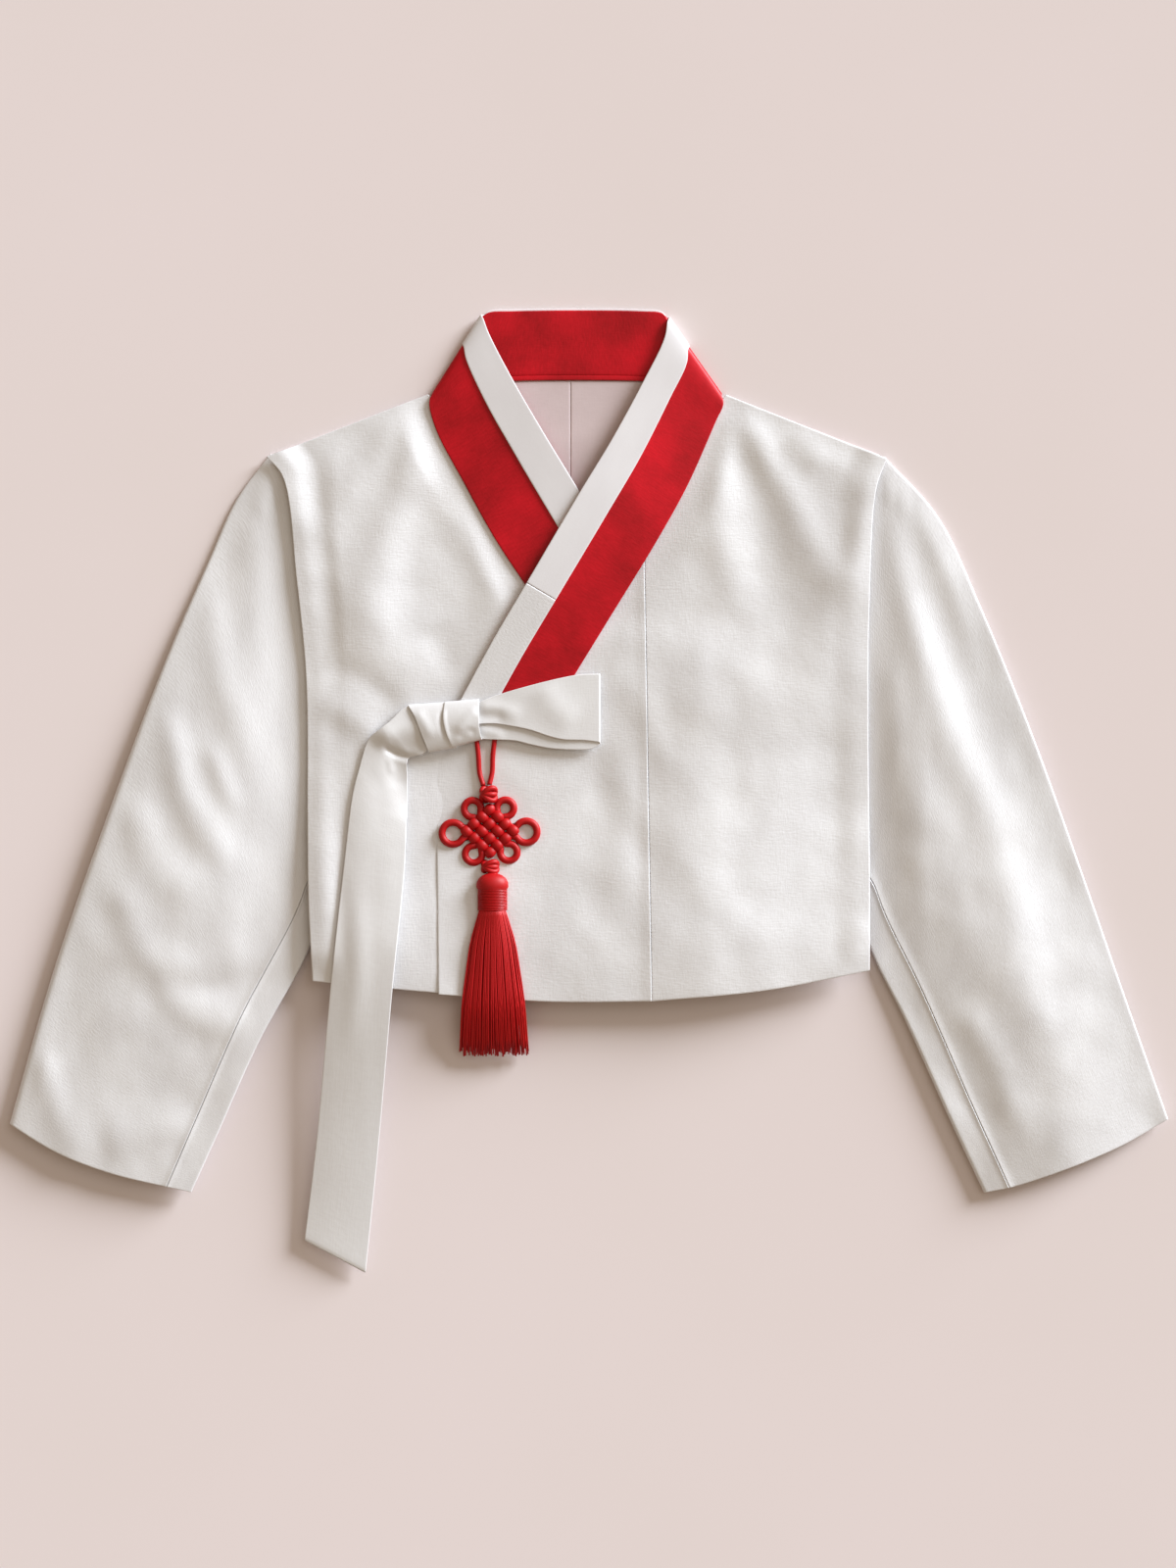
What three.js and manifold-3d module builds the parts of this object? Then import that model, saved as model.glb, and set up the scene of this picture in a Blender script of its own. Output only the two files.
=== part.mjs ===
// A jeogori, the short Korean jacket, laid flat on a table with its ribbon tied and a tassel
// pendant hung from the bow. Millimetres. The back rests on z = 0, X runs across the jacket from
// the wearer's right sleeve to the left one, Y runs from the hem towards the collar, +Z is up.
import * as THREE from 'three';
import { mergeVertices } from 'three/addons/utils/BufferGeometryUtils.js';
import Module from 'manifold-3d';

const wasm = await Module();
wasm.setup();

// ---------------------------------------------------------------- driving dimensions

const SILK = 1.2;             // satin with its lining, one finished layer
const RIBBON = 1.0;           // the tie's ribbon and the white collar strips
const GIT = 1.8;              // the padded collar band
const SEAM_GAP = 0.3;         // between two pieces sewn edge to edge

const CENTRE_BACK = -14.4;    // X of the centre back seam
const FRONT_LIFT = 3;         // underside of a front that lies on the back alone
const OVERLAP_LIFT = 5;       // underside of the outer front where the inner front is below it
const ARMHOLE_LIFT = 5;       // underside of a front's edge where the sleeve tucks below it
const SHOULDER_LIFT = 1.6;    // underside of a front along the shoulder
const SLEEVE_FLOOR = SILK / 2;  // mid height of a sleeve's lower layer
const SLEEVE_HEAD = 2.6;      // mid height of its upper layer, tucked under the armhole
const SLEEVE_BODY = 3.8;      // mid height of its upper layer further down the arm
const HEAD_SHARE = 0.07;      // share of the sleeve's length in which it comes up from the armhole
const FOLD_ROOM = 16;         // a sleeve's folds die out this far from its turned edges

const WHITE_SHARE = 0.38;     // share of the collar's width covered by the white strip
const DONGJEONG_END = 5 / 7;  // where on the left front the dongjeong stops
const NECK_FOLD_RADIUS = 2.35;  // of the collar's turn at the side of the neck
const BACK_COLLAR = { low: 0.9, high: 4 };  // mid heights of the back collar's two edges

const BOW_LIFT = 11;          // underside of the bow, over collar and pendant cord
const PENDANT_LIFT = 6.6;     // underside of the pendant, on the overlap
const PENDANT_CORD = 4;       // diameter of the pendant's cord
const KNOT_CORD = 5.8;        // diameter of the cord in the woven knot

// Outlines: a few points each, in the order in which the edge runs.
const RIGHT_SIDE = [
  [-262.4, 272], [-248.8, 255.2], [-237.6, 170.4], [-230, 89.6], [-228.8, -18.4], [-227.5, -90], [-224, -155.6],
];
const LEFT_SIDE = [[244, 270.4], [235.2, 245.6], [229.6, 149.6], [228.8, 61.6], [229.6, -60.8], [229.2, -147]];
const INNER_NECKLINE = [[-130.5, 323.4], [-124, 312], [-118, 296], [-98, 259], [-75.6, 218], [-44, 172], [-14, 118]];
const OUTER_NECKLINE = [[112.6, 323], [105, 312], [98, 297], [81, 262.7]];
const SEOP_SEAM = [[46.2, 190], [52, -172]];
const SEOP_NECKLINE = [[-124, 52], [-70, 56], [-34, 66], [-16.7, 97.6], [4.6, 132.4]];
const SEOP_EDGE = [[-124, 52], [-124, 20], [-121.6, -166.4]];
const RIGHT_SLEEVE = {
  armhole: [[-225.8, -60.8], [-225.8, -18.4], [-227, 89.6], [-234.6, 170.4], [-245.8, 255.2], [-259.5, 275]],
  outer: [[-259.5, 275], [-287.2, 237.6], [-309.6, 188], [-340.8, 116], [-381.6, 8.8], [-435.2, -144], [-472, -272]],
  lower: [[-225.8, -60.8], [-220.5, -90], [-226.4, -125.6], [-268.8, -206.4], [-300.8, -278.4], [-323.2, -328]],
  cuff: [[-323.2, -328], [-390.4, -312], [-435.2, -294.4], [-472, -272]],
};
const LEFT_SLEEVE = {
  armhole: [[226.6, -61.2], [226.6, -18.4], [225.8, 61.6], [226.6, 149.6], [232.2, 245.6], [241.5, 273]],
  outer: [[241.5, 273], [285.6, 224], [320.8, 149.6], [364.8, 40], [404, -69.6], [439.2, -171.2], [473.6, -268.8]],
  lower: [[226.6, -61.2], [222.5, -93], [230.8, -129.2], [259.2, -188.4], [294.4, -267.2], [323.2, -328.8]],
  cuff: [[323.2, -328.8], [351.2, -322.4], [432.8, -291.2], [473.6, -268.8]],
};

// The soft folds of each layer: a ridge runs from start through bend to end.
const fold = (start, bend, end, height, width) => ({ start, bend, end, height, width });
const INNER_FRONT_FOLDS = [
  fold([-138, 318], [-184, 186], [-146, 92], 5, 19),
  fold([-153, 316], [-178, 262], [-222, 224], 2.5, 13),
  fold([-256, 262], [-236, 224], [-192, 208], 3, 16),
  fold([-94, 236], [-70, 164], [-100, 104], 2.5, 12),
  fold([-214, 78], [-192, 60], [-166, 42], 2.5, 11),
  fold([-216, 30], [-219, -40], [-216, -110], 2, 9),
];
const OUTER_FRONT_FOLDS = [
  fold([113, 316], [98, 220], [138, 120], 4, 15),
  fold([118, 316], [232, 190], [150, 44], 5, 20),
  fold([236, 262], [222, 210], [204, 146], 4, 13),
  fold([165, 90], [172, 0], [165, -90], 2.5, 40),
  fold([112, -96], [136, -126], [156, -158], 2, 20),
  fold([230, -108], [214, -136], [192, -158], 2.5, 12),
  fold([24, 60], [30, -20], [20, -120], 2, 14),
];
const RIGHT_SLEEVE_FOLDS = [
  fold([-271, 240], [-268, 120], [-280, 0], 5, 15),
  fold([-312, 180], [-294, 90], [-264, -30], 4.5, 15),
  fold([-340, 64], [-322, -30], [-272, -76], 4.5, 15),
  fold([-372, -10], [-350, -80], [-300, -96], 4, 20),
  fold([-384, -80], [-352, -140], [-298, -148], 3.5, 17),
  fold([-352, -168], [-308, -194], [-270, -182], 3.5, 11),
  fold([-446, -212], [-434, -268], [-402, -302], 4, 14),
  fold([-396, -290], [-356, -282], [-322, -264], 2.5, 14),
];
const LEFT_SLEEVE_FOLDS = [
  fold([252, 250], [262, 110], [330, -35], 6, 18),
  fold([330, -35], [356, -150], [418, -280], 5.5, 20),
  fold([262, 250], [306, 160], [342, 46], 2.5, 12),
  fold([262, 20], [268, -60], [276, -112], 2.5, 10),
  fold([300, -170], [330, -220], [356, -290], 3, 15),
];

// The collar's cross lines, neck edge first, from the side of the neck down each front, and
// the mid heights of its two edges.
const line = (neck, neckZ, seam, seamZ) => ({
  neck: new THREE.Vector3(...neck, neckZ),
  seam: new THREE.Vector3(...seam, seamZ),
});
const NECK_FOLD_RIGHT = line([-88, 388.8], BACK_COLLAR.high, [-128, 324.8], BACK_COLLAR.low);
const NECK_FOLD_LEFT = line([66.8, 386], BACK_COLLAR.high, [110.4, 324.2], BACK_COLLAR.low);
const BACK_LINES = [
  line([-60, 391.2], BACK_COLLAR.high, [-75, 332.9], BACK_COLLAR.low),
  line([-10, 392.8], BACK_COLLAR.high, [-10, 334.8], BACK_COLLAR.low),
  line([42, 390.6], BACK_COLLAR.high, [57, 332.9], BACK_COLLAR.low),
];
const RIGHT_FRONT_LINES = [
  line([-82, 375], 7.6, [-129.6, 317], 5.6),
  line([-61.2, 334.4], 6.4, [-124.5, 295], 5.6),
  line([-34.4, 288.3], 5.6, [-101, 250], 5.6),
  line([-6.6, 242.7], 5.6, [-76, 205], 5.6),
  line([12, 210], 5.6, [-38, 148], 5.6),
];
const LEFT_FRONT_LINES = [
  line([62.5, 369], 7.8, [110.6, 315], 5.8),
  line([45.4, 333.7], 7.2, [104.5, 301], 6.2),
  line([19.6, 286.1], 8.2, [81.5, 249], 7.4),
  line([-6.6, 242.7], 9.5, [57.3, 205], 9.2),
  line([-50, 168.8], 9.5, [12.6, 132], 9.3),
  line([-77, 123], 8.7, [-14.4, 88], 8.1),
  line([-107, 68], 7.6, [-26.6, 68], 7.5),
];

// The ribbon's tail, left edge and right edge, from the knot to its slanted end.
const TAIL_LINES = [
  { left: [-138, 64], right: [-127, 37] },
  { left: [-150, 66], right: [-134, 31] },
  { left: [-164, 54], right: [-141, 22] },
  { left: [-179, 38], right: [-146, 4] },
  { left: [-187.5, -5], right: [-147, -30] },
  { left: [-198.4, -59.2], right: [-149.2, -66] },
  { left: [-209, -159], right: [-158.6, -162.4] },
  { left: [-220.8, -282.2], right: [-170.5, -290] },
  { left: [-231.4, -367.8], right: [-181.4, -394.4] },
];
const BOW = {
  knot: { topLeft: [-147.2, 69.6], topRight: [-88, 74.4], lowRight: [-86.6, 40.8], low: [-109.8, 32.6], lowLeft: [-130, 29.6] },
  earTop: [[-86.8, 71.2], [-73, 77.6], [-10, 93.6], [10, 94.6]],
  earLip: [[-86.2, 53], [-49.8, 48.2], [-27.8, 42], [11, 39.6]],
  earBack: [[-85.6, 41], [-49.8, 37.1], [-19.2, 33.4], [11, 36]],
};

// The pendant, from its upper button knot down to the tassel's ends.
const PENDANT = {
  upperButton: { x: -81, y: -3.3, z: 12.6, across: 7, along: 6.3, deep: 6 },
  lowerButton: { x: -79.6, y: -63, z: 12.6, across: 7.4, along: 5.8, deep: 6 },
  weave: { x: -80, y: -33.4, z: 10.9, halfAcross: 25.8, halfAlong: 23.6, beads: 4, rim: 1.6, bead: 2.6 },
  sideLoop: 8.9,
  cornerLoop: 6.9,
};
const LOOPS = [
  { dx: -30.1, dy: -2, radius: PENDANT.sideLoop },
  { dx: 29.6, dy: -0.8, radius: PENDANT.sideLoop },
  { dx: -14.1, dy: 18, radius: PENDANT.cornerLoop },
  { dx: 12.6, dy: 18.4, radius: PENDANT.cornerLoop },
  { dx: -13.2, dy: -19, radius: PENDANT.cornerLoop },
  { dx: 15.4, dy: -17.4, radius: PENDANT.cornerLoop },
];
const TASSEL = {
  x: -77.8,
  z: 15.9,
  flatten: 0.69,
  head: [
    { y: -70, r: 3.2 }, { y: -71.5, r: 8.5 }, { y: -75, r: 12 }, { y: -79.4, r: 13.1 },
    { y: -80.6, r: 12 }, { y: -97, r: 12 }, { y: -98.2, r: 11.4 },
  ],
  skirt: [
    { y: -94, halfWidth: 9.6, low: 10.6, high: 21 },
    { y: -124, halfWidth: 18.4, low: 9, high: 18.6 },
    { y: -174, halfWidth: 26, low: 8.8, high: 16 },
    { y: -213, halfWidth: 29.4, low: 2.6, high: 9.8 },
  ],
  columns: 16,
  layers: 3,
  lean: 1.1,
  uneven: 5,
};

// How finely each surface is divided.
const CELLS = {
  frontRight: { columns: 14, rows: 22, necklineRows: 10 },
  frontLeft: { columns: 11, rows: 22, necklineRows: 7 },
  seop: { columns: 9, rows: 14 },
  back: { columns: 8, rows: 12 },
  sleeve: { rows: 15, strip: 3, turn: 3, floor: 5, top: 13, crowding: 1.25 },
  collar: { perInterval: 2, neckTurn: 4, git: 4, strip: 2 },
  fold: 12,
};

// ---------------------------------------------------------------- curves, patches and walls

const smooth = (from, to, value) => THREE.MathUtils.smoothstep(value, from, to);

/** A soft curve through plan points, walked by its length as t goes from 0 to 1. */
function edge(points) {
  const curve = new THREE.CatmullRomCurve3(points.map(([x, y]) => new THREE.Vector3(x, y, 0)), false, 'centripetal');
  return (t) => curve.getPointAt(t);
}

/** Two edges walked one after the other, meeting in a corner where t is split. */
function cornered(first, second, split) {
  return (t) => (t < split ? first(t / split) : second((t - split) / (1 - split)));
}

/** A plan patch between four edges: start and end run across, near and far run along. */
function patch({ start, end, near, far }) {
  const corners = [start(0), start(1), end(0), end(1)];
  return (u, v) => {
    const across = start(u).clone().lerp(end(u), v);
    const along = near(v).clone().lerp(far(v), u);
    const flat = corners[0].clone().lerp(corners[1], u).lerp(corners[2].clone().lerp(corners[3], u), v);
    return across.add(along).sub(flat);
  };
}

/** A closed wall between two faces, each given as a function of column and row. */
function wall(columns, rows, faceA, faceB) {
  const positions = [];
  const triangles = [];
  const stride = columns + 1;
  const sheet = stride * (rows + 1);
  for (const face of [faceA, faceB]) {
    for (let row = 0; row <= rows; row += 1) {
      for (let column = 0; column <= columns; column += 1) {
        positions.push(...face(column, row).toArray());
      }
    }
  }
  const at = (column, row, side) => side * sheet + row * stride + column;
  const quad = (a, b, c, d) => triangles.push(a, b, c, a, c, d);
  for (let row = 0; row < rows; row += 1) {
    for (let column = 0; column < columns; column += 1) {
      quad(at(column, row, 0), at(column + 1, row, 0), at(column + 1, row + 1, 0), at(column, row + 1, 0));
      quad(at(column, row, 1), at(column, row + 1, 1), at(column + 1, row + 1, 1), at(column + 1, row, 1));
    }
  }
  for (let column = 0; column < columns; column += 1) {
    quad(at(column, 0, 0), at(column, 0, 1), at(column + 1, 0, 1), at(column + 1, 0, 0));
    quad(at(column, rows, 0), at(column + 1, rows, 0), at(column + 1, rows, 1), at(column, rows, 1));
  }
  for (let row = 0; row < rows; row += 1) {
    quad(at(0, row, 0), at(0, row + 1, 0), at(0, row + 1, 1), at(0, row, 1));
    quad(at(columns, row, 0), at(columns, row, 1), at(columns, row + 1, 1), at(columns, row + 1, 0));
  }
  return outward(positions, triangles);
}

/** The geometry of a closed set of triangles, turned inside out if its volume is negative. */
function outward(positions, triangles) {
  const corner = (index) => new THREE.Vector3().fromArray(positions, index * 3);
  let volume = 0;
  for (let i = 0; i < triangles.length; i += 3) {
    const [a, b, c] = [corner(triangles[i]), corner(triangles[i + 1]), corner(triangles[i + 2])];
    volume += a.dot(b.cross(c));
  }
  const geometry = new THREE.BufferGeometry();
  geometry.setAttribute('position', new THREE.Float32BufferAttribute(positions, 3));
  geometry.setIndex(volume > 0 ? triangles : triangles.slice().reverse());
  geometry.computeVertexNormals();
  return geometry;
}

/** A cloth layer over a plan patch, its underside at the height that lift gives. */
function panel(columns, rows, plan, lift) {
  const point = (column, row, rise) => {
    const at = plan(column / columns, row / rows);
    return new THREE.Vector3(at.x, at.y, lift(at.x, at.y) + rise);
  };
  return wall(columns, rows, (c, r) => point(c, r, SILK), (c, r) => point(c, r, 0));
}

/** Distance in plan from a place to the broken line through some points. */
function distanceTo(points, x, y) {
  const place = new THREE.Vector3(x, y, 0);
  const corners = points.map(([px, py]) => new THREE.Vector3(px, py, 0));
  const sides = corners.slice(1).map((corner, i) => new THREE.Line3(corners[i], corner));
  return Math.min(...sides.map((s) => s.closestPointToPoint(place, true, new THREE.Vector3()).distanceTo(place)));
}

/** Height that a list of folds adds at a place: each is a rounded ridge along its own curve. */
function foldsAt(folds, x, y) {
  const place = new THREE.Vector3(x, y, 0);
  return folds.reduce((sum, { start, bend, end, height, width }) => {
    const spine = new THREE.QuadraticBezierCurve3(
      new THREE.Vector3(...start, 0), new THREE.Vector3(...bend, 0), new THREE.Vector3(...end, 0));
    const distance = Math.min(...spine.getPoints(CELLS.fold).map((p) => p.distanceTo(place)));
    return sum + height * Math.exp(-((distance / width) ** 2));
  }, 0);
}

// ---------------------------------------------------------------- body panels

/** How much of a fold is left beside the collar, which holds the fronts down. */
function besideCollar(x, y) {
  const nearest = Math.min(...[RIGHT_FRONT_LINES, LEFT_FRONT_LINES].map(
    (lines) => distanceTo(lines.map(({ seam }) => [seam.x, seam.y]), x, y)));
  return smooth(6, 26, nearest);
}

/** Change of a front's lift beside its armhole and side, and along its shoulder. */
function edgeLift(side, neck, x, y) {
  const shoulder = 1 - smooth(0, 26, distanceTo([side[0], neck], x, y));
  const armhole = (1 - smooth(8, 30, distanceTo(side, x, y))) * smooth(-154, -130, y);
  const lowered = (SHOULDER_LIFT - FRONT_LIFT) * shoulder;
  return THREE.MathUtils.lerp(lowered, ARMHOLE_LIFT - FRONT_LIFT, armhole);
}

function innerFrontLift(x, y) {
  const shown = 1 - smooth(-128, -96, x) * (1 - smooth(60, 110, y));
  const folds = foldsAt(INNER_FRONT_FOLDS, x, y) * besideCollar(x, y) * shown;
  return FRONT_LIFT + folds + edgeLift(RIGHT_SIDE, INNER_NECKLINE[0], x, y);
}

function outerFrontLift(x, y) {
  const overlapped = (1 - smooth(85, 125, x)) * (1 - smooth(118, 150, y));
  const base = FRONT_LIFT + (OVERLAP_LIFT - FRONT_LIFT) * overlapped;
  const folds = foldsAt(OUTER_FRONT_FOLDS, x, y) * besideCollar(x, y);
  return base + folds + edgeLift(LEFT_SIDE, OUTER_NECKLINE[0], x, y);
}

function frontRightPanel() {
  const { columns, rows, necklineRows } = CELLS.frontRight;
  const plan = patch({
    start: edge([RIGHT_SIDE[0], INNER_NECKLINE[0]]),
    end: edge([RIGHT_SIDE.at(-1), [-120, -165.2], [-32, -169], [70, -166]]),
    near: edge(RIGHT_SIDE),
    far: cornered(edge(INNER_NECKLINE), edge([INNER_NECKLINE.at(-1), [70, -166]]), necklineRows / rows),
  });
  return panel(columns, rows, plan, innerFrontLift);
}

function frontLeftPanel() {
  const { columns, rows, necklineRows } = CELLS.frontLeft;
  const [top, bottom] = SEOP_SEAM.map(([x, y]) => [x + SEAM_GAP / 2, y]);
  const plan = patch({
    start: edge([OUTER_NECKLINE[0], LEFT_SIDE[0]]),
    end: edge([bottom, [145, -163], LEFT_SIDE.at(-1)]),
    near: cornered(edge([...OUTER_NECKLINE, top]), edge([top, bottom]), necklineRows / rows),
    far: edge(LEFT_SIDE),
  });
  return panel(columns, rows, plan, outerFrontLift);
}

function outerSeop() {
  const [top, bottom] = SEOP_SEAM.map(([x, y]) => [x - SEAM_GAP / 2, y]);
  const plan = patch({
    start: edge([...SEOP_NECKLINE, top]),
    end: edge([SEOP_EDGE.at(-1), [-32, -172.3], bottom]),
    near: edge(SEOP_EDGE),
    far: edge([top, bottom]),
  });
  return panel(CELLS.seop.columns, CELLS.seop.rows, plan, outerFrontLift);
}

/** One back length: side is -1 for the wearer's right and 1 for the left. */
function backPanel(side, sideEdge, shoulder, neck, neckline, hem) {
  const seamX = CENTRE_BACK + side * SEAM_GAP / 2;
  const plan = patch({
    start: cornered(edge([shoulder, neck]), edge([neck, ...neckline, [seamX, 334.3]]), 0.5),
    end: edge([sideEdge.at(-1), ...hem, [seamX, -170]]),
    near: edge([shoulder, ...sideEdge]),
    far: edge([[seamX, 334.3], [seamX, -170]]),
  });
  return panel(CELLS.back.columns, CELLS.back.rows, plan, () => 0);
}

// ---------------------------------------------------------------- sleeves

/** Share of the sleeve's width between its lower fold and the underarm seam. */
const seamShare = (v) => 0.022 + 0.095 * smooth(0, 0.2, v) + 0.012 * v;

/**
 * A sleeve: one length of silk that starts at the underarm seam, turns under along the lower
 * fold, lies on the table, turns up along the outer fold and comes back to the seam.
 */
function sleeve(outline, folds) {
  const plan = patch({
    start: edge(outline.armhole),
    end: edge(outline.cuff),
    near: edge(outline.lower),
    far: edge(outline.outer),
  });
  const { rows } = CELLS.sleeve;
  const way = [
    ...steps(CELLS.sleeve.strip, (t) => ({ part: 'strip', t })),
    ...steps(CELLS.sleeve.turn, (t) => ({ part: 'lower', t })),
    ...steps(CELLS.sleeve.floor, (t) => ({ part: 'floor', t })),
    ...steps(CELLS.sleeve.turn, (t) => ({ part: 'outer', t })),
    ...steps(CELLS.sleeve.top, (t) => ({ part: 'top', t })),
    { part: 'top', t: 1 },
  ];
  const point = (column, row, side) => {
    const v = (row / rows) ** CELLS.sleeve.crowding;
    const width = plan(0, v).distanceTo(plan(1, v));
    const upper = SLEEVE_HEAD + (SLEEVE_BODY - SLEEVE_HEAD) * smooth(0, HEAD_SHARE, v);
    const radius = (upper - SLEEVE_FLOOR) / 2;
    const turn = (radius + SILK / 2) / width;
    const seam = seamShare(v);
    const gap = SEAM_GAP / 2 / width;
    const { part, t } = way[column];
    const flat = (u, z, outwards) => {
      const at = plan(u, v);
      const clearOfTurns = smooth(0, FOLD_ROOM, u * width) * smooth(0, FOLD_ROOM, (1 - u) * width);
      const room = clearOfTurns * smooth(0, HEAD_SHARE / 2, v);
      const lift = outwards > 0 ? foldsAt(folds, at.x, at.y) * room : 0;
      return new THREE.Vector3(at.x, at.y, z + lift + side * outwards * SILK / 2);
    };
    const round = (edgeU, inwards, angle) => {
      const reach = radius + side * SILK / 2;
      const at = plan(edgeU + inwards * (turn - reach * Math.cos(angle) / width), v);
      return new THREE.Vector3(at.x, at.y, SLEEVE_FLOOR + radius + reach * Math.sin(angle));
    };
    if (part === 'strip') return flat(THREE.MathUtils.lerp(seam - gap, turn, t), upper, 1);
    if (part === 'lower') return round(0, 1, Math.PI / 2 - Math.PI * t);
    if (part === 'floor') return flat(THREE.MathUtils.lerp(turn, 1 - turn, t), SLEEVE_FLOOR, -1);
    if (part === 'outer') return round(1, -1, Math.PI * t - Math.PI / 2);
    return flat(THREE.MathUtils.lerp(1 - turn, seam + gap, t), upper, 1);
  };
  return wall(way.length - 1, rows, (c, r) => point(c, r, 1), (c, r) => point(c, r, -1));
}

/** The list make(0), make(1 / count), ... that stops one step short of make(1). */
function steps(count, make) {
  return Array.from({ length: count }, (_, i) => make(i / count));
}

// ---------------------------------------------------------------- collar

/** The collar's turn at the side of the neck: back collar below, front collar above. */
function neckTurn(fold, count) {
  const along = fold.seam.clone().sub(fold.neck).setZ(0).normalize();
  const out = new THREE.Vector3(along.y, -along.x, 0);
  out.multiplyScalar(Math.sign(out.x * (fold.neck.x - CENTRE_BACK)));
  return steps(count, (t) => t + 1 / count).concat([0]).sort((a, b) => a - b).map((t) => {
    const angle = Math.PI * t;
    const inset = NECK_FOLD_RADIUS * Math.sin(angle) - NECK_FOLD_RADIUS - GIT / 2;
    const rise = NECK_FOLD_RADIUS * (1 - Math.cos(angle));
    const moved = (point) => point.clone().addScaledVector(out, inset).add(new THREE.Vector3(0, 0, rise));
    return {
      neck: moved(fold.neck),
      seam: moved(fold.seam),
      out: out.clone().multiplyScalar(Math.sin(angle)).setZ(-Math.cos(angle)),
    };
  });
}

/** Cross lines between the given ones, count to each interval, with the face's direction. */
function smoothLines(lines, count, up) {
  const curves = ['neck', 'seam'].map((side) => new THREE.CatmullRomCurve3(lines.map((l) => l[side]), false, 'centripetal'));
  const total = (lines.length - 1) * count;
  return Array.from({ length: total + 1 }, (_, i) => ({
    neck: curves[0].getPoint(i / total),
    seam: curves[1].getPoint(i / total),
    out: new THREE.Vector3(0, 0, up),
  }));
}

const rightTurn = neckTurn(NECK_FOLD_RIGHT, CELLS.collar.neckTurn);
const leftTurn = neckTurn(NECK_FOLD_LEFT, CELLS.collar.neckTurn);
const rightFront = smoothLines([rightTurn.at(-1), ...RIGHT_FRONT_LINES], CELLS.collar.perInterval, 1);
const leftFront = smoothLines([leftTurn.at(-1), ...LEFT_FRONT_LINES], CELLS.collar.perInterval, 1);
const backCollar = smoothLines([rightTurn[0], ...BACK_LINES, leftTurn[0]], CELLS.collar.perInterval, -1);
const roundNeck = [
  ...rightFront.slice(1).reverse(),
  ...rightTurn.slice().reverse(),
  ...backCollar.slice(1, -1),
  ...leftTurn,
];

/** A strip along the collar, from share neckSide to share seamSide of its width. */
function collarStrip(lines, neckSide, seamSide, cells, inner, outer) {
  const point = (column, row, offset) => {
    const { neck, seam, out } = lines[row];
    const share = THREE.MathUtils.lerp(neckSide, seamSide, column / cells);
    return neck.clone().lerp(seam, share).addScaledVector(out, offset);
  };
  return wall(cells, lines.length - 1, (c, r) => point(c, r, outer), (c, r) => point(c, r, inner));
}

const GIT_NECK = 0.015;       // the git stops this share short of the neck edge, below the white fold
const BAND_NECK = 0.045;      // and so does the band at the dongjeong's end
const STRIP_INNER = GIT / 2 + SEAM_GAP;
const STRIP_OUTER = STRIP_INNER + RIBBON;

function git() {
  const rows = [...roundNeck, ...leftFront.slice(1)];
  return collarStrip(rows, GIT_NECK, 1, CELLS.collar.git, -GIT / 2, GIT / 2);
}

function dongjeong() {
  const end = Math.round(DONGJEONG_END * (leftFront.length - 1));
  const rows = [...roundNeck, ...leftFront.slice(1, end + 1)];
  return collarStrip(rows, 0, WHITE_SHARE, CELLS.collar.strip, STRIP_INNER, STRIP_OUTER);
}

function gitEndBand() {
  const end = Math.round(DONGJEONG_END * (leftFront.length - 1));
  const first = { ...leftFront[end] };
  const towards = leftFront[end + 1];
  const share = SEAM_GAP / first.neck.distanceTo(towards.neck);
  first.neck = first.neck.clone().lerp(towards.neck, share);
  first.seam = first.seam.clone().lerp(towards.seam, share);
  const rows = [first, ...leftFront.slice(end + 1)];
  return collarStrip(rows, BAND_NECK, WHITE_SHARE, CELLS.collar.strip, STRIP_INNER, STRIP_OUTER);
}

// ---------------------------------------------------------------- the tied ribbon

function goreumKnot() {
  const { topLeft, topRight, lowRight, low, lowLeft } = BOW.knot;
  const plan = patch({
    start: edge([topLeft, topRight]),
    end: edge([lowLeft, low, lowRight]),
    near: edge([topLeft, lowLeft]),
    far: edge([topRight, lowRight]),
  });
  const [columns, rows, rim, dome, wrapStep] = [8, 6, 5, 3, 0.8];
  const point = (column, row, up) => {
    const [u, v] = [column / columns, row / rows];
    const at = plan(u, v);
    const wrapped = u < 0.5 ? wrapStep : 0;
    const crown = dome * Math.sqrt(Math.sin(Math.PI * u) * Math.sin(Math.PI * v)) + wrapped;
    return new THREE.Vector3(at.x, at.y, BOW_LIFT + up * (rim + crown));
  };
  return wall(columns, rows, (c, r) => point(c, r, 1), (c, r) => point(c, r, 0));
}

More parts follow.
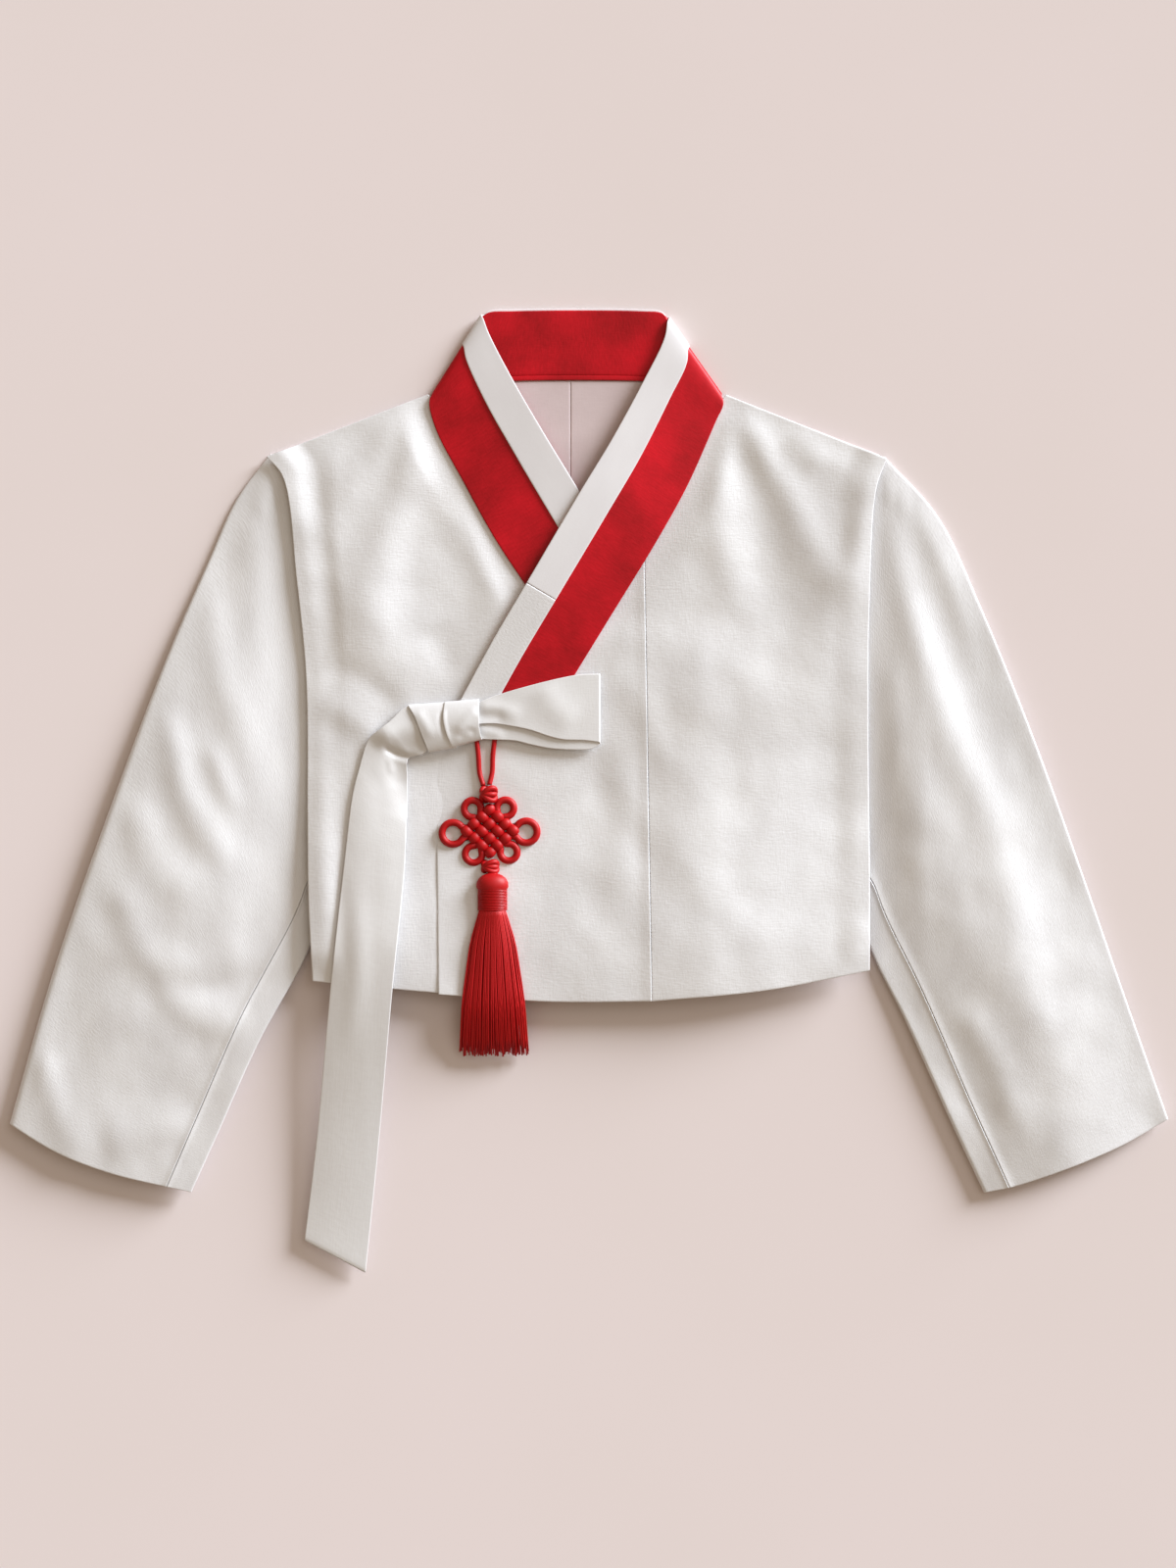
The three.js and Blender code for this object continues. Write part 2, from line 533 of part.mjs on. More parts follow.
/** The single bow ear: the ribbon runs out below, turns at the end and comes back above. */
function goreumEar() {
  const [top, lip, back] = [edge(BOW.earTop), edge(BOW.earLip), edge(BOW.earBack)];
  const rows = 5;
  const radius = 2.2;
  const [floor, pinch, puff] = [BOW_LIFT + RIBBON / 2, 2.2, 2.6];
  const length = top(0).distanceTo(top(1));
  const way = [
    ...steps(7, (t) => ({ part: 'below', t })),
    ...steps(4, (t) => ({ part: 'end', t })),
    ...steps(8, (t) => ({ part: 'above', t: 1 - t })),
    { part: 'above', t: 0 },
  ];
  const reach = 1 - (radius + RIBBON / 2) / length;
  const point = (column, row, side) => {
    const { part, t } = way[column];
    const across = row / rows;
    const flat = (share, lower, z) => {
      const at = top(share * reach).clone().lerp(lower(share * reach), across);
      return at.setZ(z);
    };
    const height = (share) => THREE.MathUtils.lerp(pinch, 2 * radius, smooth(0, 0.25, share))
      + puff * Math.sin(Math.PI * share) * Math.sin(Math.PI * (0.15 + 0.7 * across));
    if (part === 'below') return flat(t, back, floor - side * RIBBON / 2);
    if (part === 'above') return flat(t, lip, floor + height(t) + side * RIBBON / 2);
    const angle = Math.PI * t;
    const lower = back(reach).clone().lerp(lip(reach), t);
    const at = top(reach).clone().lerp(lower, across);
    const round = radius + side * RIBBON / 2;
    return new THREE.Vector3(at.x + round * Math.sin(angle), at.y, floor + radius - round * Math.cos(angle));
  };
  return wall(way.length - 1, rows, (c, r) => point(c, r, 1), (c, r) => point(c, r, -1));
}

function goreumTail() {
  const curves = ['left', 'right'].map((side) => new THREE.CatmullRomCurve3(
    TAIL_LINES.map((l) => new THREE.Vector3(...l[side], 0)), false, 'centripetal'));
  const [columns, rows] = [4, (TAIL_LINES.length - 1) * 3];
  const clear = 1.1;
  const point = (column, row, rise) => {
    const at = curves[0].getPoint(row / rows).lerp(curves[1].getPoint(row / rows), column / columns);
    const resting = (innerFrontLift(at.x, at.y) + SILK + clear) * smooth(-202, -168, at.y);
    const underKnot = BOW_LIFT - RIBBON - SEAM_GAP - clear;
    const share = 1 - smooth(1, 3, (row / rows) * (TAIL_LINES.length - 1));
    return new THREE.Vector3(at.x, at.y, THREE.MathUtils.lerp(resting, underKnot, share) + rise);
  };
  return wall(columns, rows, (c, r) => point(c, r, RIBBON), (c, r) => point(c, r, 0));
}

// ---------------------------------------------------------------- the pendant

/** The cord: up from the upper button knot, round under the bow and back down beside itself. */
function norigaeLoop() {
  const rest = PENDANT_LIFT + PENDANT_CORD / 2 + 0.1;
  const [bendX, bendY, bendRadius] = [-83.4, 51, 8];
  const bend = Array.from({ length: 7 }, (_, i) => Math.PI * (1 - i / 6)).map((angle) => new THREE.Vector3(
    bendX + bendRadius * Math.cos(angle), bendY + bendRadius * Math.sin(angle), rest));
  const route = new THREE.CatmullRomCurve3([
    new THREE.Vector3(-85.4, 3.6, rest + 1.6),
    new THREE.Vector3(-88.4, 14, rest),
    new THREE.Vector3(-89.4, 28, rest),
    ...bend,
    new THREE.Vector3(-77.6, 28, rest),
    new THREE.Vector3(-78.2, 14, rest),
    new THREE.Vector3(-80.4, 4.2, rest + 1.6),
  ], false, 'centripetal');
  const section = new THREE.Shape().absarc(0, 0, PENDANT_CORD / 2, 0, Math.PI * 2, false);
  return new THREE.ExtrudeGeometry(section, { steps: 30, curveSegments: 4, extrudePath: route, bevelEnabled: false });
}

function buttonKnot({ x, y, z, across, along, deep }) {
  return new THREE.SphereGeometry(1, 12, 8).scale(across, along, deep).translate(x, y, z);
}

/** A closed geometry as a manifold solid, its shared vertices merged. */
function solidOf(geometry) {
  const bare = geometry.clone().deleteAttribute('normal').deleteAttribute('uv');
  const merged = mergeVertices(bare, 1e-4);
  return new wasm.Manifold(new wasm.Mesh({
    numProp: 3,
    vertProperties: new Float32Array(merged.attributes.position.array),
    triVerts: new Uint32Array(merged.index.array),
  }));
}

function joined(geometries) {
  const mesh = geometries.map(solidOf).reduce((all, next) => all.add(next)).getMesh();
  const geometry = new THREE.BufferGeometry();
  geometry.setAttribute('position', new THREE.Float32BufferAttribute(mesh.vertProperties, 3));
  geometry.setIndex(Array.from(mesh.triVerts));
  geometry.computeVertexNormals();
  return geometry;
}

/** The woven knot: a diamond of beads, each where two cords cross, with loops round it. */
function norigaeKnot() {
  const { x, y, z, halfAcross, halfAlong, beads, rim, bead } = PENDANT.weave;
  const cells = beads * 2;
  const face = (side) => (column, row) => {
    const [p, q] = [column / cells, row / cells];
    const swell = Math.abs(Math.sin(Math.PI * beads * p) * Math.sin(Math.PI * beads * q));
    return new THREE.Vector3(
      x + (p - q) * halfAcross, y + (p + q - 1) * halfAlong, z + side * (rim + bead * swell));
  };
  const loops = LOOPS.map(({ dx, dy, radius }) => new THREE.TorusGeometry(radius, KNOT_CORD / 2, 6, 14)
    .translate(x + dx, y + dy, z));
  return joined([wall(cells, cells, face(1), face(-1)), ...loops]);
}

/** One lock of the tassel: a three-sided prism that widens towards its end. */
function lock(column, layer) {
  const { x, skirt, columns, layers, lean, uneven } = TASSEL;
  const across = ((column + 0.5) / columns) * 2 - 1;
  const height = layer / (layers - 1);
  const flip = (column + layer) % 2 === 0 ? 1 : -1;
  const extra = uneven * Math.sin(column * 2.3 + layer * 1.7);
  const corner = (index, row) => {
    const { y, halfWidth, low, high } = skirt[row];
    const narrowed = halfWidth * (1 - 0.1 * Math.abs(height - 0.4));
    const half = (halfWidth / columns) * 0.72;
    const deep = ((high - low) / (layers - 1)) * 0.3;
    const corners = [[-half, -deep * flip], [half, -deep * flip], [0, deep * flip]];
    const end = row === skirt.length - 1 ? extra : 0;
    return new THREE.Vector3(
      x + lean * (row / (skirt.length - 1)) + across * narrowed + corners[index][0],
      y - end,
      THREE.MathUtils.lerp(low, high, height) + corners[index][1]);
  };
  const rows = skirt.length - 1;
  const positions = [];
  const triangles = [];
  for (let row = 0; row <= rows; row += 1) {
    for (let index = 0; index < 3; index += 1) positions.push(...corner(index, row).toArray());
  }
  for (let row = 0; row < rows; row += 1) {
    for (let index = 0; index < 3; index += 1) {
      const [a, b] = [row * 3 + index, row * 3 + ((index + 1) % 3)];
      triangles.push(a, b, b + 3, a, b + 3, a + 3);
    }
  }
  triangles.push(0, 2, 1, rows * 3, rows * 3 + 1, rows * 3 + 2);
  return outward(positions, triangles);
}

function norigaeTassel() {
  const { x, z, flatten, head, columns, layers } = TASSEL;
  const profile = [
    new THREE.Vector2(0, head.at(-1).y),
    ...head.slice().reverse().map((ring) => new THREE.Vector2(ring.r, ring.y)),
    new THREE.Vector2(0, head[0].y),
  ];
  const body = new THREE.LatheGeometry(profile, 16).scale(1, 1, flatten).translate(x, 0, z);
  const locks = [];
  for (let layer = 0; layer < layers; layer += 1) {
    for (let column = 0; column < columns; column += 1) locks.push(lock(column, layer));
  }
  return joined([body, ...locks]);
}

// ---------------------------------------------------------------- the finished jacket

const satin = () => new THREE.MeshStandardMaterial({ color: 0xe9e6e2, roughness: 0.38, metalness: 0 });
const redSilk = () => new THREE.MeshStandardMaterial({ color: 0xc41414, roughness: 0.45, metalness: 0 });
const whiteStrip = () => new THREE.MeshStandardMaterial({ color: 0xf4f3f1, roughness: 0.55, metalness: 0 });
const redCord = () => new THREE.MeshStandardMaterial({ color: 0xc1121a, roughness: 0.6, metalness: 0 });

const RIGHT_BACK_SIDE = [
  [-241.6, 255.6], [-230.8, 170.4], [-223.4, 89.6], [-222, -18.4], [-216.5, -60], [-215.4, -95], [-219, -130], [-221, -154],
];
const LEFT_BACK_SIDE = [
  [228.4, 246], [222.8, 149.6], [222, 61.6], [222.8, -18.4], [217.6, -60], [217, -95], [222, -132], [226, -147],
];

const pieces = [
  ['back_right_panel', backPanel(-1, RIGHT_BACK_SIDE, [-255.6, 276], [-130.2, 321.8],
    [[-104, 325.4], [-60, 333.2]], [[-120, -164]]), satin()],
  ['back_left_panel', backPanel(1, LEFT_BACK_SIDE, [237.6, 274.4], [112.2, 321],
    [[86, 325.4], [44, 333.2]], [[130, -161], [40, -170]]), satin()],
  ['front_right_panel', frontRightPanel(), satin()],
  ['front_left_panel', frontLeftPanel(), satin()],
  ['outer_seop', outerSeop(), satin()],
  ['sleeve_right', sleeve(RIGHT_SLEEVE, RIGHT_SLEEVE_FOLDS), satin()],
  ['sleeve_left', sleeve(LEFT_SLEEVE, LEFT_SLEEVE_FOLDS), satin()],
  ['git', git(), redSilk()],
  ['dongjeong', dongjeong(), whiteStrip()],
  ['git_end_band', gitEndBand(), whiteStrip()],
  ['goreum_knot', goreumKnot(), satin()],
  ['goreum_ear', goreumEar(), satin()],
  ['goreum_tail', goreumTail(), satin()],
  ['norigae_loop', norigaeLoop(), redCord()],
  ['norigae_button_top', buttonKnot(PENDANT.upperButton), redCord()],
  ['norigae_knot', norigaeKnot(), redCord()],
  ['norigae_button_bottom', buttonKnot(PENDANT.lowerButton), redCord()],
  ['norigae_tassel', norigaeTassel(), redCord()],
];

const jeogori = new THREE.Group();
for (const [name, geometry, material] of pieces) {
  const mesh = new THREE.Mesh(geometry, material);
  mesh.name = name;
  jeogori.add(mesh);
}

export default jeogori;
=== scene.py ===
# %% [markdown]
# # A jeogori laid flat on a table
# A jeogori is the short jacket of Korean dress. This one is white silk satin. Its collar band, the
# git, is red, with a crisp white strip on it, the dongjeong. A ribbon, the goreum, is tied in a bow
# with a single ear, and a red knotted pendant with a tassel, the norigae, hangs from the bow.
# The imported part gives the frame, and every piece here is laid where its solid is.

# %% Load the frame
import math

import bmesh
import bpy
import numpy as np
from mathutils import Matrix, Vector, noise


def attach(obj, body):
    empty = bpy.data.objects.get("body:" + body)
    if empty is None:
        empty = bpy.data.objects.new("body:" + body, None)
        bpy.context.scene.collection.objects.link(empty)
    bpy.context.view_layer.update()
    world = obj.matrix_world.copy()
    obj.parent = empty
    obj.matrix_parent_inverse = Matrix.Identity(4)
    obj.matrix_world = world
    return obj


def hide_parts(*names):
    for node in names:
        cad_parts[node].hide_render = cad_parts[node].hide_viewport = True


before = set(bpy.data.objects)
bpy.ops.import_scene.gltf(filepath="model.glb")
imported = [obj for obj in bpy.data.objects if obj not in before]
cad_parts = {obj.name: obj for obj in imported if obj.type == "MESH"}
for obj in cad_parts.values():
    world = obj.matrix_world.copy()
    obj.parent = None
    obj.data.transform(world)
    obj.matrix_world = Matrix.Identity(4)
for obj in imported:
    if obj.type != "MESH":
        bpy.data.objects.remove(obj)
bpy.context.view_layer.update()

MM = 0.001
print("nodes in the frame:", len(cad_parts))


def placed(name, data):
    """A new object in the scene."""
    thing = bpy.data.objects.new(name, data)
    bpy.context.scene.collection.objects.link(thing)
    return thing


# %% [markdown]
# ## The camera
# The jacket lies on a table and is seen from straight above, so the camera looks down its own -Z
# axis without being turned. A long lens keeps the sleeves from spreading towards the corners.

# %% Camera
LENS = 85
SENSOR = 36
SEEN_HEIGHT = 1.28  # metres of table from the lower to the upper edge of the frame
SEEN_MIDDLE = 0.0048  # y of the middle of the frame
CLOTH_LEVEL = 0.006  # height of the cloth that the lens is set on

camera_data = bpy.data.cameras.new("camera")
camera_data.lens = LENS
camera_data.sensor_width = SENSOR
camera = placed("camera", camera_data)
camera.location = (0, SEEN_MIDDLE, CLOTH_LEVEL + SEEN_HEIGHT / 2 * LENS / (SENSOR / 2))
bpy.context.scene.camera = camera
print("camera height", round(camera.location.z, 3), "m")

# %% [markdown]
# ## Curves for a pattern cutter
# Each piece of the jacket is cut along a few soft curves. A curve here is a short list of points
# in millimetres. `through` finds a smooth line through them, and `edge` walks that line by its
# length, so that a grid laid along it has even cells.

# %% Curves
def through(points, steps):
    """Places on the smooth curve through some points, steps to each interval."""
    points = np.array(points, float)
    ends = np.vstack([2 * points[0] - points[1], points, 2 * points[-1] - points[-2]])
    t = np.linspace(0, 1, steps, endpoint=False)[:, None]
    spans = []
    for p0, p1, p2, p3 in zip(ends, ends[1:], ends[2:], ends[3:]):
        a, b, c = (np.linalg.norm(q - p) ** 0.5 + 1e-9 for p, q in ((p0, p1), (p1, p2), (p2, p3)))
        out = ((p1 - p0) / a - (p2 - p0) / (a + b) + (p2 - p1) / b) * b
        into = ((p2 - p1) / b - (p3 - p1) / (b + c) + (p3 - p2) / c) * b
        square = -3 * p1 + 3 * p2 - 2 * out - into
        spans.append(p1 + out * t + square * t**2 + (2 * p1 - 2 * p2 + out + into) * t**3)
    return np.vstack([*spans, points[-1:]])


def run_of(line):
    """Length walked along a line up to each of its points."""
    return np.append(0, np.cumsum(np.linalg.norm(np.diff(line, axis=0), axis=1)))


def at_run(line, run, t):
    """Places on a line where t, which rises along it as run does, has some values."""
    return np.stack([np.interp(t, run, k) for k in line.T], -1)


def edge(points):
    """A soft curve through some points, walked by its length as t goes from 0 to 1."""
    line = np.array(points, float) if len(points) == 2 else through(points, 30)
    run = run_of(line)
    return lambda t: at_run(line, run, np.asarray(t) * run[-1])


def cornered(first, second, split):
    """Two edges walked one after the other, with a corner where t is split."""
    return lambda t: np.where((t < split)[..., None], first(np.minimum(t / split, 1)),
                              second(np.maximum((t - split) / (1 - split), 0)))


def mix(a, b, share):
    """The value that lies share of the way from a to b."""
    return a + (b - a) * share


def smooth(start, end, value):
    """0 before start, 1 after end, and a soft step between."""
    t = np.clip((value - start) / (end - start), 0, 1)
    return t * t * (3 - 2 * t)


def patch(start, end, near, far):
    """A plan patch between four edges: start and end run across, near and far run along."""
    corners = [curve(np.array([t]))[0] for curve in (start, end) for t in (0.0, 1.0)]

    def plan(u, v):
        p, q = u[..., None], v[..., None]
        across = mix(start(u), end(u), q)
        along = mix(near(v), far(v), p)
        flat = mix(mix(corners[0], corners[1], p), mix(corners[2], corners[3], p), q)
        return across + along - flat
    return plan


# %% [markdown]
# ## The pendant's cord
# The pendant hangs on a doubled cord that goes up under the bow and round the ribbon. A cord is
# made as a tube that follows a line. A grid is rolled up round the line, and its long edges are
# merged, so each cord keeps a UV map that says how far round and how far along a place is. That
# lets the braid of the cord follow every bend.

# %% Tubes
def rolled(bm, line, radius, sides, flatten=1.0, start=0.0):
    """Adds a tube along a line (mm) to a mesh; radius may be one number or one for each point."""
    line = np.array(line, float)
    count = len(line)
    radius = np.broadcast_to(np.asarray(radius, float), count)
    uv_layer = bm.loops.layers.uv.verify()
    grid = bmesh.ops.create_grid(bm, x_segments=sides, y_segments=count - 1, size=0.5)["verts"]
    shares = np.array([(vert.co.x + 0.5, vert.co.y + 0.5) for vert in grid])
    run = run_of(line)
    ahead = np.gradient(line, axis=0)
    ahead /= np.linalg.norm(ahead, axis=1)[:, None]
    side = np.cross(ahead, (0, 0, 1.0))
    side /= np.maximum(np.linalg.norm(side, axis=1), 1e-9)[:, None]
    top = np.cross(side, ahead)
    row = np.rint(shares[:, 1] * (count - 1)).astype(int)
    turn = shares[:, 0] * 2 * math.pi
    round_it = side[row] * np.cos(turn)[:, None] + top[row] * (flatten * np.sin(turn))[:, None]
    for vert, spot in zip(grid, (line[row] + round_it * radius[row][:, None]) * MM):
        vert.co = spot
    place = {vert: (share, start + run[r] * MM) for vert, share, r in zip(grid, shares[:, 0], row)}
    faces = list({face for vert in grid for face in vert.link_faces})
    for face in faces:
        for loop in face.loops:
            loop[uv_layer].uv = place[loop.vert]
    bmesh.ops.reverse_faces(bm, faces=faces)
    bmesh.ops.remove_doubles(bm, verts=grid, dist=1e-7)


def capped(bm):
    """The same mesh with the ends of its tubes closed."""
    bmesh.ops.holes_fill(bm, edges=[rim for rim in bm.edges if rim.is_boundary])
    return bm


def finished(bm, name, material):
    """Turns a mesh into a piece that rides with the jacket."""
    holes = sum(rim.is_boundary for rim in bm.edges)
    mesh = bpy.data.meshes.new(name)
    bm.to_mesh(mesh)
    bm.free()
    mesh.polygons.foreach_set("use_smooth", [True] * len(mesh.polygons))
    mesh.materials.append(material)
    piece = placed(name, mesh)
    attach(piece, "root")
    print(name, len(mesh.polygons), "faces,", holes, "open edges")
    return piece


def material_for(name):
    """An empty material that later cells fill with nodes."""
    material = bpy.data.materials.get(name) or bpy.data.materials.new(name)
    material.use_nodes = True
    return material


# %% Cord
CORD = 4.0  # diameter of the pendant's cord
CORD_REST = 8.7  # height of its middle where it lies on the front
BEND_X, BEND_Y, BEND = -83.4, 51, 8  # middle and radius of its turn under the bow
bend = [(BEND_X + BEND * math.cos(a), BEND_Y + BEND * math.sin(a), CORD_REST)
        for a in np.linspace(math.pi, 0, 7)]
cord_route = through([
    (-85.4, 3.6, CORD_REST + 1.6), (-88.4, 14, CORD_REST), (-89.4, 28, CORD_REST), *bend,
    (-77.6, 28, CORD_REST), (-78.2, 14, CORD_REST), (-80.4, 4.2, CORD_REST + 1.6)], 8)
bm = bmesh.new()
rolled(bm, cord_route, CORD / 2, 16)
norigae_cord = finished(capped(bm), "norigae_cord", material_for("red_cord"))
cord_length = run_of(cord_route)[-1] * MM
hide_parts("norigae_loop")
print("cord length", round(cord_length, 4), "m")

# %% [markdown]
# ## Table and light
# The table is a plain pale board. The light is one big soft lamp to the upper right and a faint
# one high above it, as in a studio, over a dim even sky. The sky is warm and the lamps are cool,
# so shaded cloth turns warm. The key lamp stands low enough that each fold of the satin has a
# bright flank and a shaded one.

# %% Table and light
def srgb(red, green, blue):
    """A colour given as screen values from 0 to 255, for a shader."""
    return tuple((c / 255 / 12.92 if c < 10 else ((c / 255 + 0.055) / 1.055) ** 2.4)
                 for c in (red, green, blue)) + (1.0,)


TABLE_REACH = 20  # metres from the middle of the table to its edge
LAMP_AZIMUTH = 39  # degrees from the X axis, seen from above
SKY_COLOUR, SKY_STRENGTH = (1.0, 0.79, 0.56, 1), 0.37

bm = bmesh.new()
bmesh.ops.create_grid(bm, x_segments=2, y_segments=2, size=TABLE_REACH)
table_mesh = bpy.data.meshes.new("table")
bm.to_mesh(table_mesh)
bm.free()
table_mesh.materials.append(material_for("table_paint"))
table = placed("table", table_mesh)


def lamp(name, elevation, spread, power, colour):
    """A soft far lamp to the upper right, at an elevation in degrees, spread degrees wide."""
    data = bpy.data.lights.new(name, "SUN")
    data.angle = math.radians(spread)
    data.energy = power
    data.color = colour
    light = placed(name, data)
    light.rotation_euler = (0, math.radians(90 - elevation), math.radians(LAMP_AZIMUTH))


lamp("key", 16, 27, 6.85, (0.91, 0.975, 1.05))
lamp("top", 60, 40, 0.35, (0.94, 0.97, 1.0))
world = bpy.data.worlds.new("studio")
world.use_nodes = True
sky = world.node_tree.nodes["Background"].inputs
sky["Color"].default_value = SKY_COLOUR
sky["Strength"].default_value = SKY_STRENGTH
bpy.context.scene.world = world
bpy.context.scene.view_settings.view_transform = "Standard"

# %% [markdown]
# ## Silk, cord and thread
# Satin shows three things: fine uneven yarns that run across it, a weave too fine to count, and
# slow changes of tone over the width of a hand. One node group makes all three from the cloth's
# UV map, which is laid in metres along the yarns, and each cloth uses it with its own colours.

# %% Node helpers
def add(tree, kind, inputs=None, **settings):
    """A shader node with its settings and its unlinked input values."""
    made = tree.nodes.new(kind)
    for key, value in settings.items():
        setattr(made, key, value)
    for key, value in (inputs or {}).items():
        made.inputs[key].default_value = value
    return made


def wire(tree, source, output, target, entry):
    """Links an output of one node to an input of another."""
    tree.links.new(source.outputs[output], target.inputs[entry])


def group(name, inputs, outputs):
    """A node group with named sockets, each given as a name, a kind and a starting value."""
    tree = bpy.data.node_groups.new(name, "ShaderNodeTree")
    for side, sockets in (("INPUT", inputs), ("OUTPUT", outputs)):
        for title, kind, *value in sockets:
            socket = tree.interface.new_socket(title, in_out=side, socket_type="NodeSocket" + kind)
            if value:
                socket.default_value = value[0]
    return tree, tree.nodes.new("NodeGroupInput").outputs, tree.nodes.new("NodeGroupOutput").inputs


def maths(tree, operation, first, second=None, third=None):
    """A maths node whose inputs are sockets or numbers; returns its output."""
    made = tree.nodes.new("ShaderNodeMath")
    made.operation = operation
    for socket, value in zip(made.inputs, (first, second, third)):
        if isinstance(value, bpy.types.NodeSocket):
            tree.links.new(value, socket)
        elif value is not None:
            socket.default_value = value
    return made.outputs[0]


# %% Satin group
satin_tree, given, wanted = group(
    "satin_weave",
    [("Vector", "Vector"), ("Light", "Color"), ("Dark", "Color"), ("Gloss", "Float", 0.36),
     ("Slub", "Float", 1.0)],
    [("Colour", "Color"), ("Roughness", "Float"), ("Height", "Float")])


def stretched_noise(tree, vector, scale, detail):
    """Noise stretched by a different amount each way, as yarns are."""
    mapping = add(tree, "ShaderNodeMapping", {"Scale": scale})
    cloud = add(tree, "ShaderNodeTexNoise", {"Scale": 1.0, "Detail": detail})
    tree.links.new(vector, mapping.inputs["Vector"])
    wire(tree, mapping, "Vector", cloud, "Vector")
    return cloud.outputs["Fac"]


def blended(tree, share, dark, light):
    """A colour that lies share of the way from dark to light; returns its output."""
    blend = add(tree, "ShaderNodeMix", data_type="RGBA", clamp_factor=True)
    for value, socket in ((share, "Factor"), (dark, "A"), (light, "B")):
        tree.links.new(value, blend.inputs[socket])
    return blend.outputs["Result"]


slub = stretched_noise(satin_tree, given["Vector"], (150, 640, 1), 4)
weave = stretched_noise(satin_tree, given["Vector"], (640, 150, 1), 4)
mottle = stretched_noise(satin_tree, given["Vector"], (13, 16, 1), 3)
uneven = maths(satin_tree, "MULTIPLY", slub, given["Slub"])
tone = maths(satin_tree, "MULTIPLY_ADD", mottle, 1.5, -0.5)
tone = maths(satin_tree, "MULTIPLY_ADD", uneven, 0.5, tone)
rough = maths(satin_tree, "MULTIPLY_ADD", uneven, 0.12, given["Gloss"])
rough = maths(satin_tree, "MULTIPLY_ADD", mottle, 0.1, rough)
height = maths(satin_tree, "MULTIPLY", uneven, 0.55)
height = maths(satin_tree, "MULTIPLY_ADD", weave, 0.45, height)
satin_tree.links.new(blended(satin_tree, tone, given["Dark"], given["Light"]), wanted["Colour"])
satin_tree.links.new(maths(satin_tree, "SUBTRACT", rough, 0.11), wanted["Roughness"])
satin_tree.links.new(height, wanted["Height"])

# %% Cord group
braid_shade_tree, given, wanted = group(
    "braided_cord_groove_shade",
    [("Vector", "Vector"), ("Strands", "Float", 4.0), ("Pitch", "Float", 250.0),
     ("Light", "Color"), ("Dark", "Color")],
    [("Colour", "Color"), ("Height", "Float")])
place = add(braid_shade_tree, "ShaderNodeSeparateXYZ")
braid_shade_tree.links.new(given["Vector"], place.inputs[0])
around = maths(braid_shade_tree, "MULTIPLY", place.outputs["X"], given["Strands"])
along = maths(braid_shade_tree, "MULTIPLY", place.outputs["Y"], given["Pitch"])
waves = []
for slant in ("ADD", "SUBTRACT"):
    turns = maths(braid_shade_tree, slant, around, along)
    waves.append(maths(braid_shade_tree, "SINE", maths(braid_shade_tree, "MULTIPLY", turns, 2 * math.pi)))
height = maths(braid_shade_tree, "MULTIPLY_ADD", maths(braid_shade_tree, "MAXIMUM", *waves), 0.5, 0.5)
# The colour runs from Dark in the grooves between strands to Light on their crowns: painted shade
# between the strands.
braid_shade_tree.links.new(blended(braid_shade_tree, height, given["Dark"], given["Light"]), wanted["Colour"])
braid_shade_tree.links.new(height, wanted["Height"])


# %% [markdown]
# ## The materials
# White satin reflects more than plain white cloth, so its shader is partly metallic, which gives
# folds a bright flank without making the flat parts shine. The collar is a finer, deeper red
# satin. The dongjeong is starched and matt. The cords and threads are matt silk with a twist.

# %% Materials
def dressed(name, look, uv_map, values, bump, depth, shading):
    """A material whose node group reads one of the piece's own UV maps."""
    material = material_for(name)
    tree = material.node_tree
    shader = tree.nodes["Principled BSDF"]
    for key, value in shading.items():
        shader.inputs[key].default_value = value
    uv = add(tree, "ShaderNodeUVMap", uv_map=uv_map)
    weave = add(tree, "ShaderNodeGroup", values, node_tree=look)
    relief = add(tree, "ShaderNodeBump", {"Strength": bump, "Distance": depth})
    wire(tree, uv, "UV", weave, "Vector")
    wire(tree, weave, "Colour", shader, "Base Color")
    wire(tree, weave, "Height", relief, "Height")
    wire(tree, relief, "Normal", shader, "Normal")
    if "Roughness" in weave.outputs:
        wire(tree, weave, "Roughness", shader, "Roughness")
    return material


def satin(name, light, dark, gloss, slub, metallic, sheen, bump, specular=0.5):
    """A woven silk, with its yarns in metres."""
    return dressed(
        name, satin_tree, "cloth", {"Light": light, "Dark": dark, "Gloss": gloss, "Slub": slub},
        bump, 0.0006, {"Metallic": metallic, "Specular IOR Level": specular,
                       "Sheen Weight": sheen, "Sheen Roughness": 0.4})


def corded(name, light, dark, strands, pitch, roughness, bump):
    """A braided or twisted cord, painted darker in its grooves as shade: strands to a turn, and pitch
    turns to a metre.
    """
    return dressed(
        name, braid_shade_tree, "UVMap", {"Light": light, "Dark": dark, "Strands": strands, "Pitch": pitch},
        bump, 0.0005, {"Roughness": roughness, "Specular IOR Level": 0.35,
                       "Sheen Weight": 0.1, "Sheen Tint": light})


white_satin = satin(
    "white_satin", srgb(237, 237, 239), srgb(220, 219, 221), 0.5, 1.0, 0.36, 0.08, 0.4)
# The lining is a pinker silk. Its colour is also made darker as painted shade for the inside of the
# back, which is seen deep in the neck opening.
lining_painted_shade = satin(
    "lining_painted_shade", srgb(222, 206, 207), srgb(198, 180, 181), 0.5, 0.6, 0.1, 0.1, 0.2)
ribbon_satin = satin(
    "ribbon_satin", srgb(232, 232, 233), srgb(219, 217, 217), 0.52, 0.8, 0.25, 0.1, 0.25)
red_satin = satin(
    "red_satin", srgb(230, 12, 36), srgb(130, 0, 6), 0.45, 0.8, 0.1, 0.0, 0.3, 0.3)
strip_cloth = satin(
    "strip_cloth", srgb(228, 226, 228), srgb(218, 215, 217), 0.6, 0.6, 0.0, 0.2, 0.1)
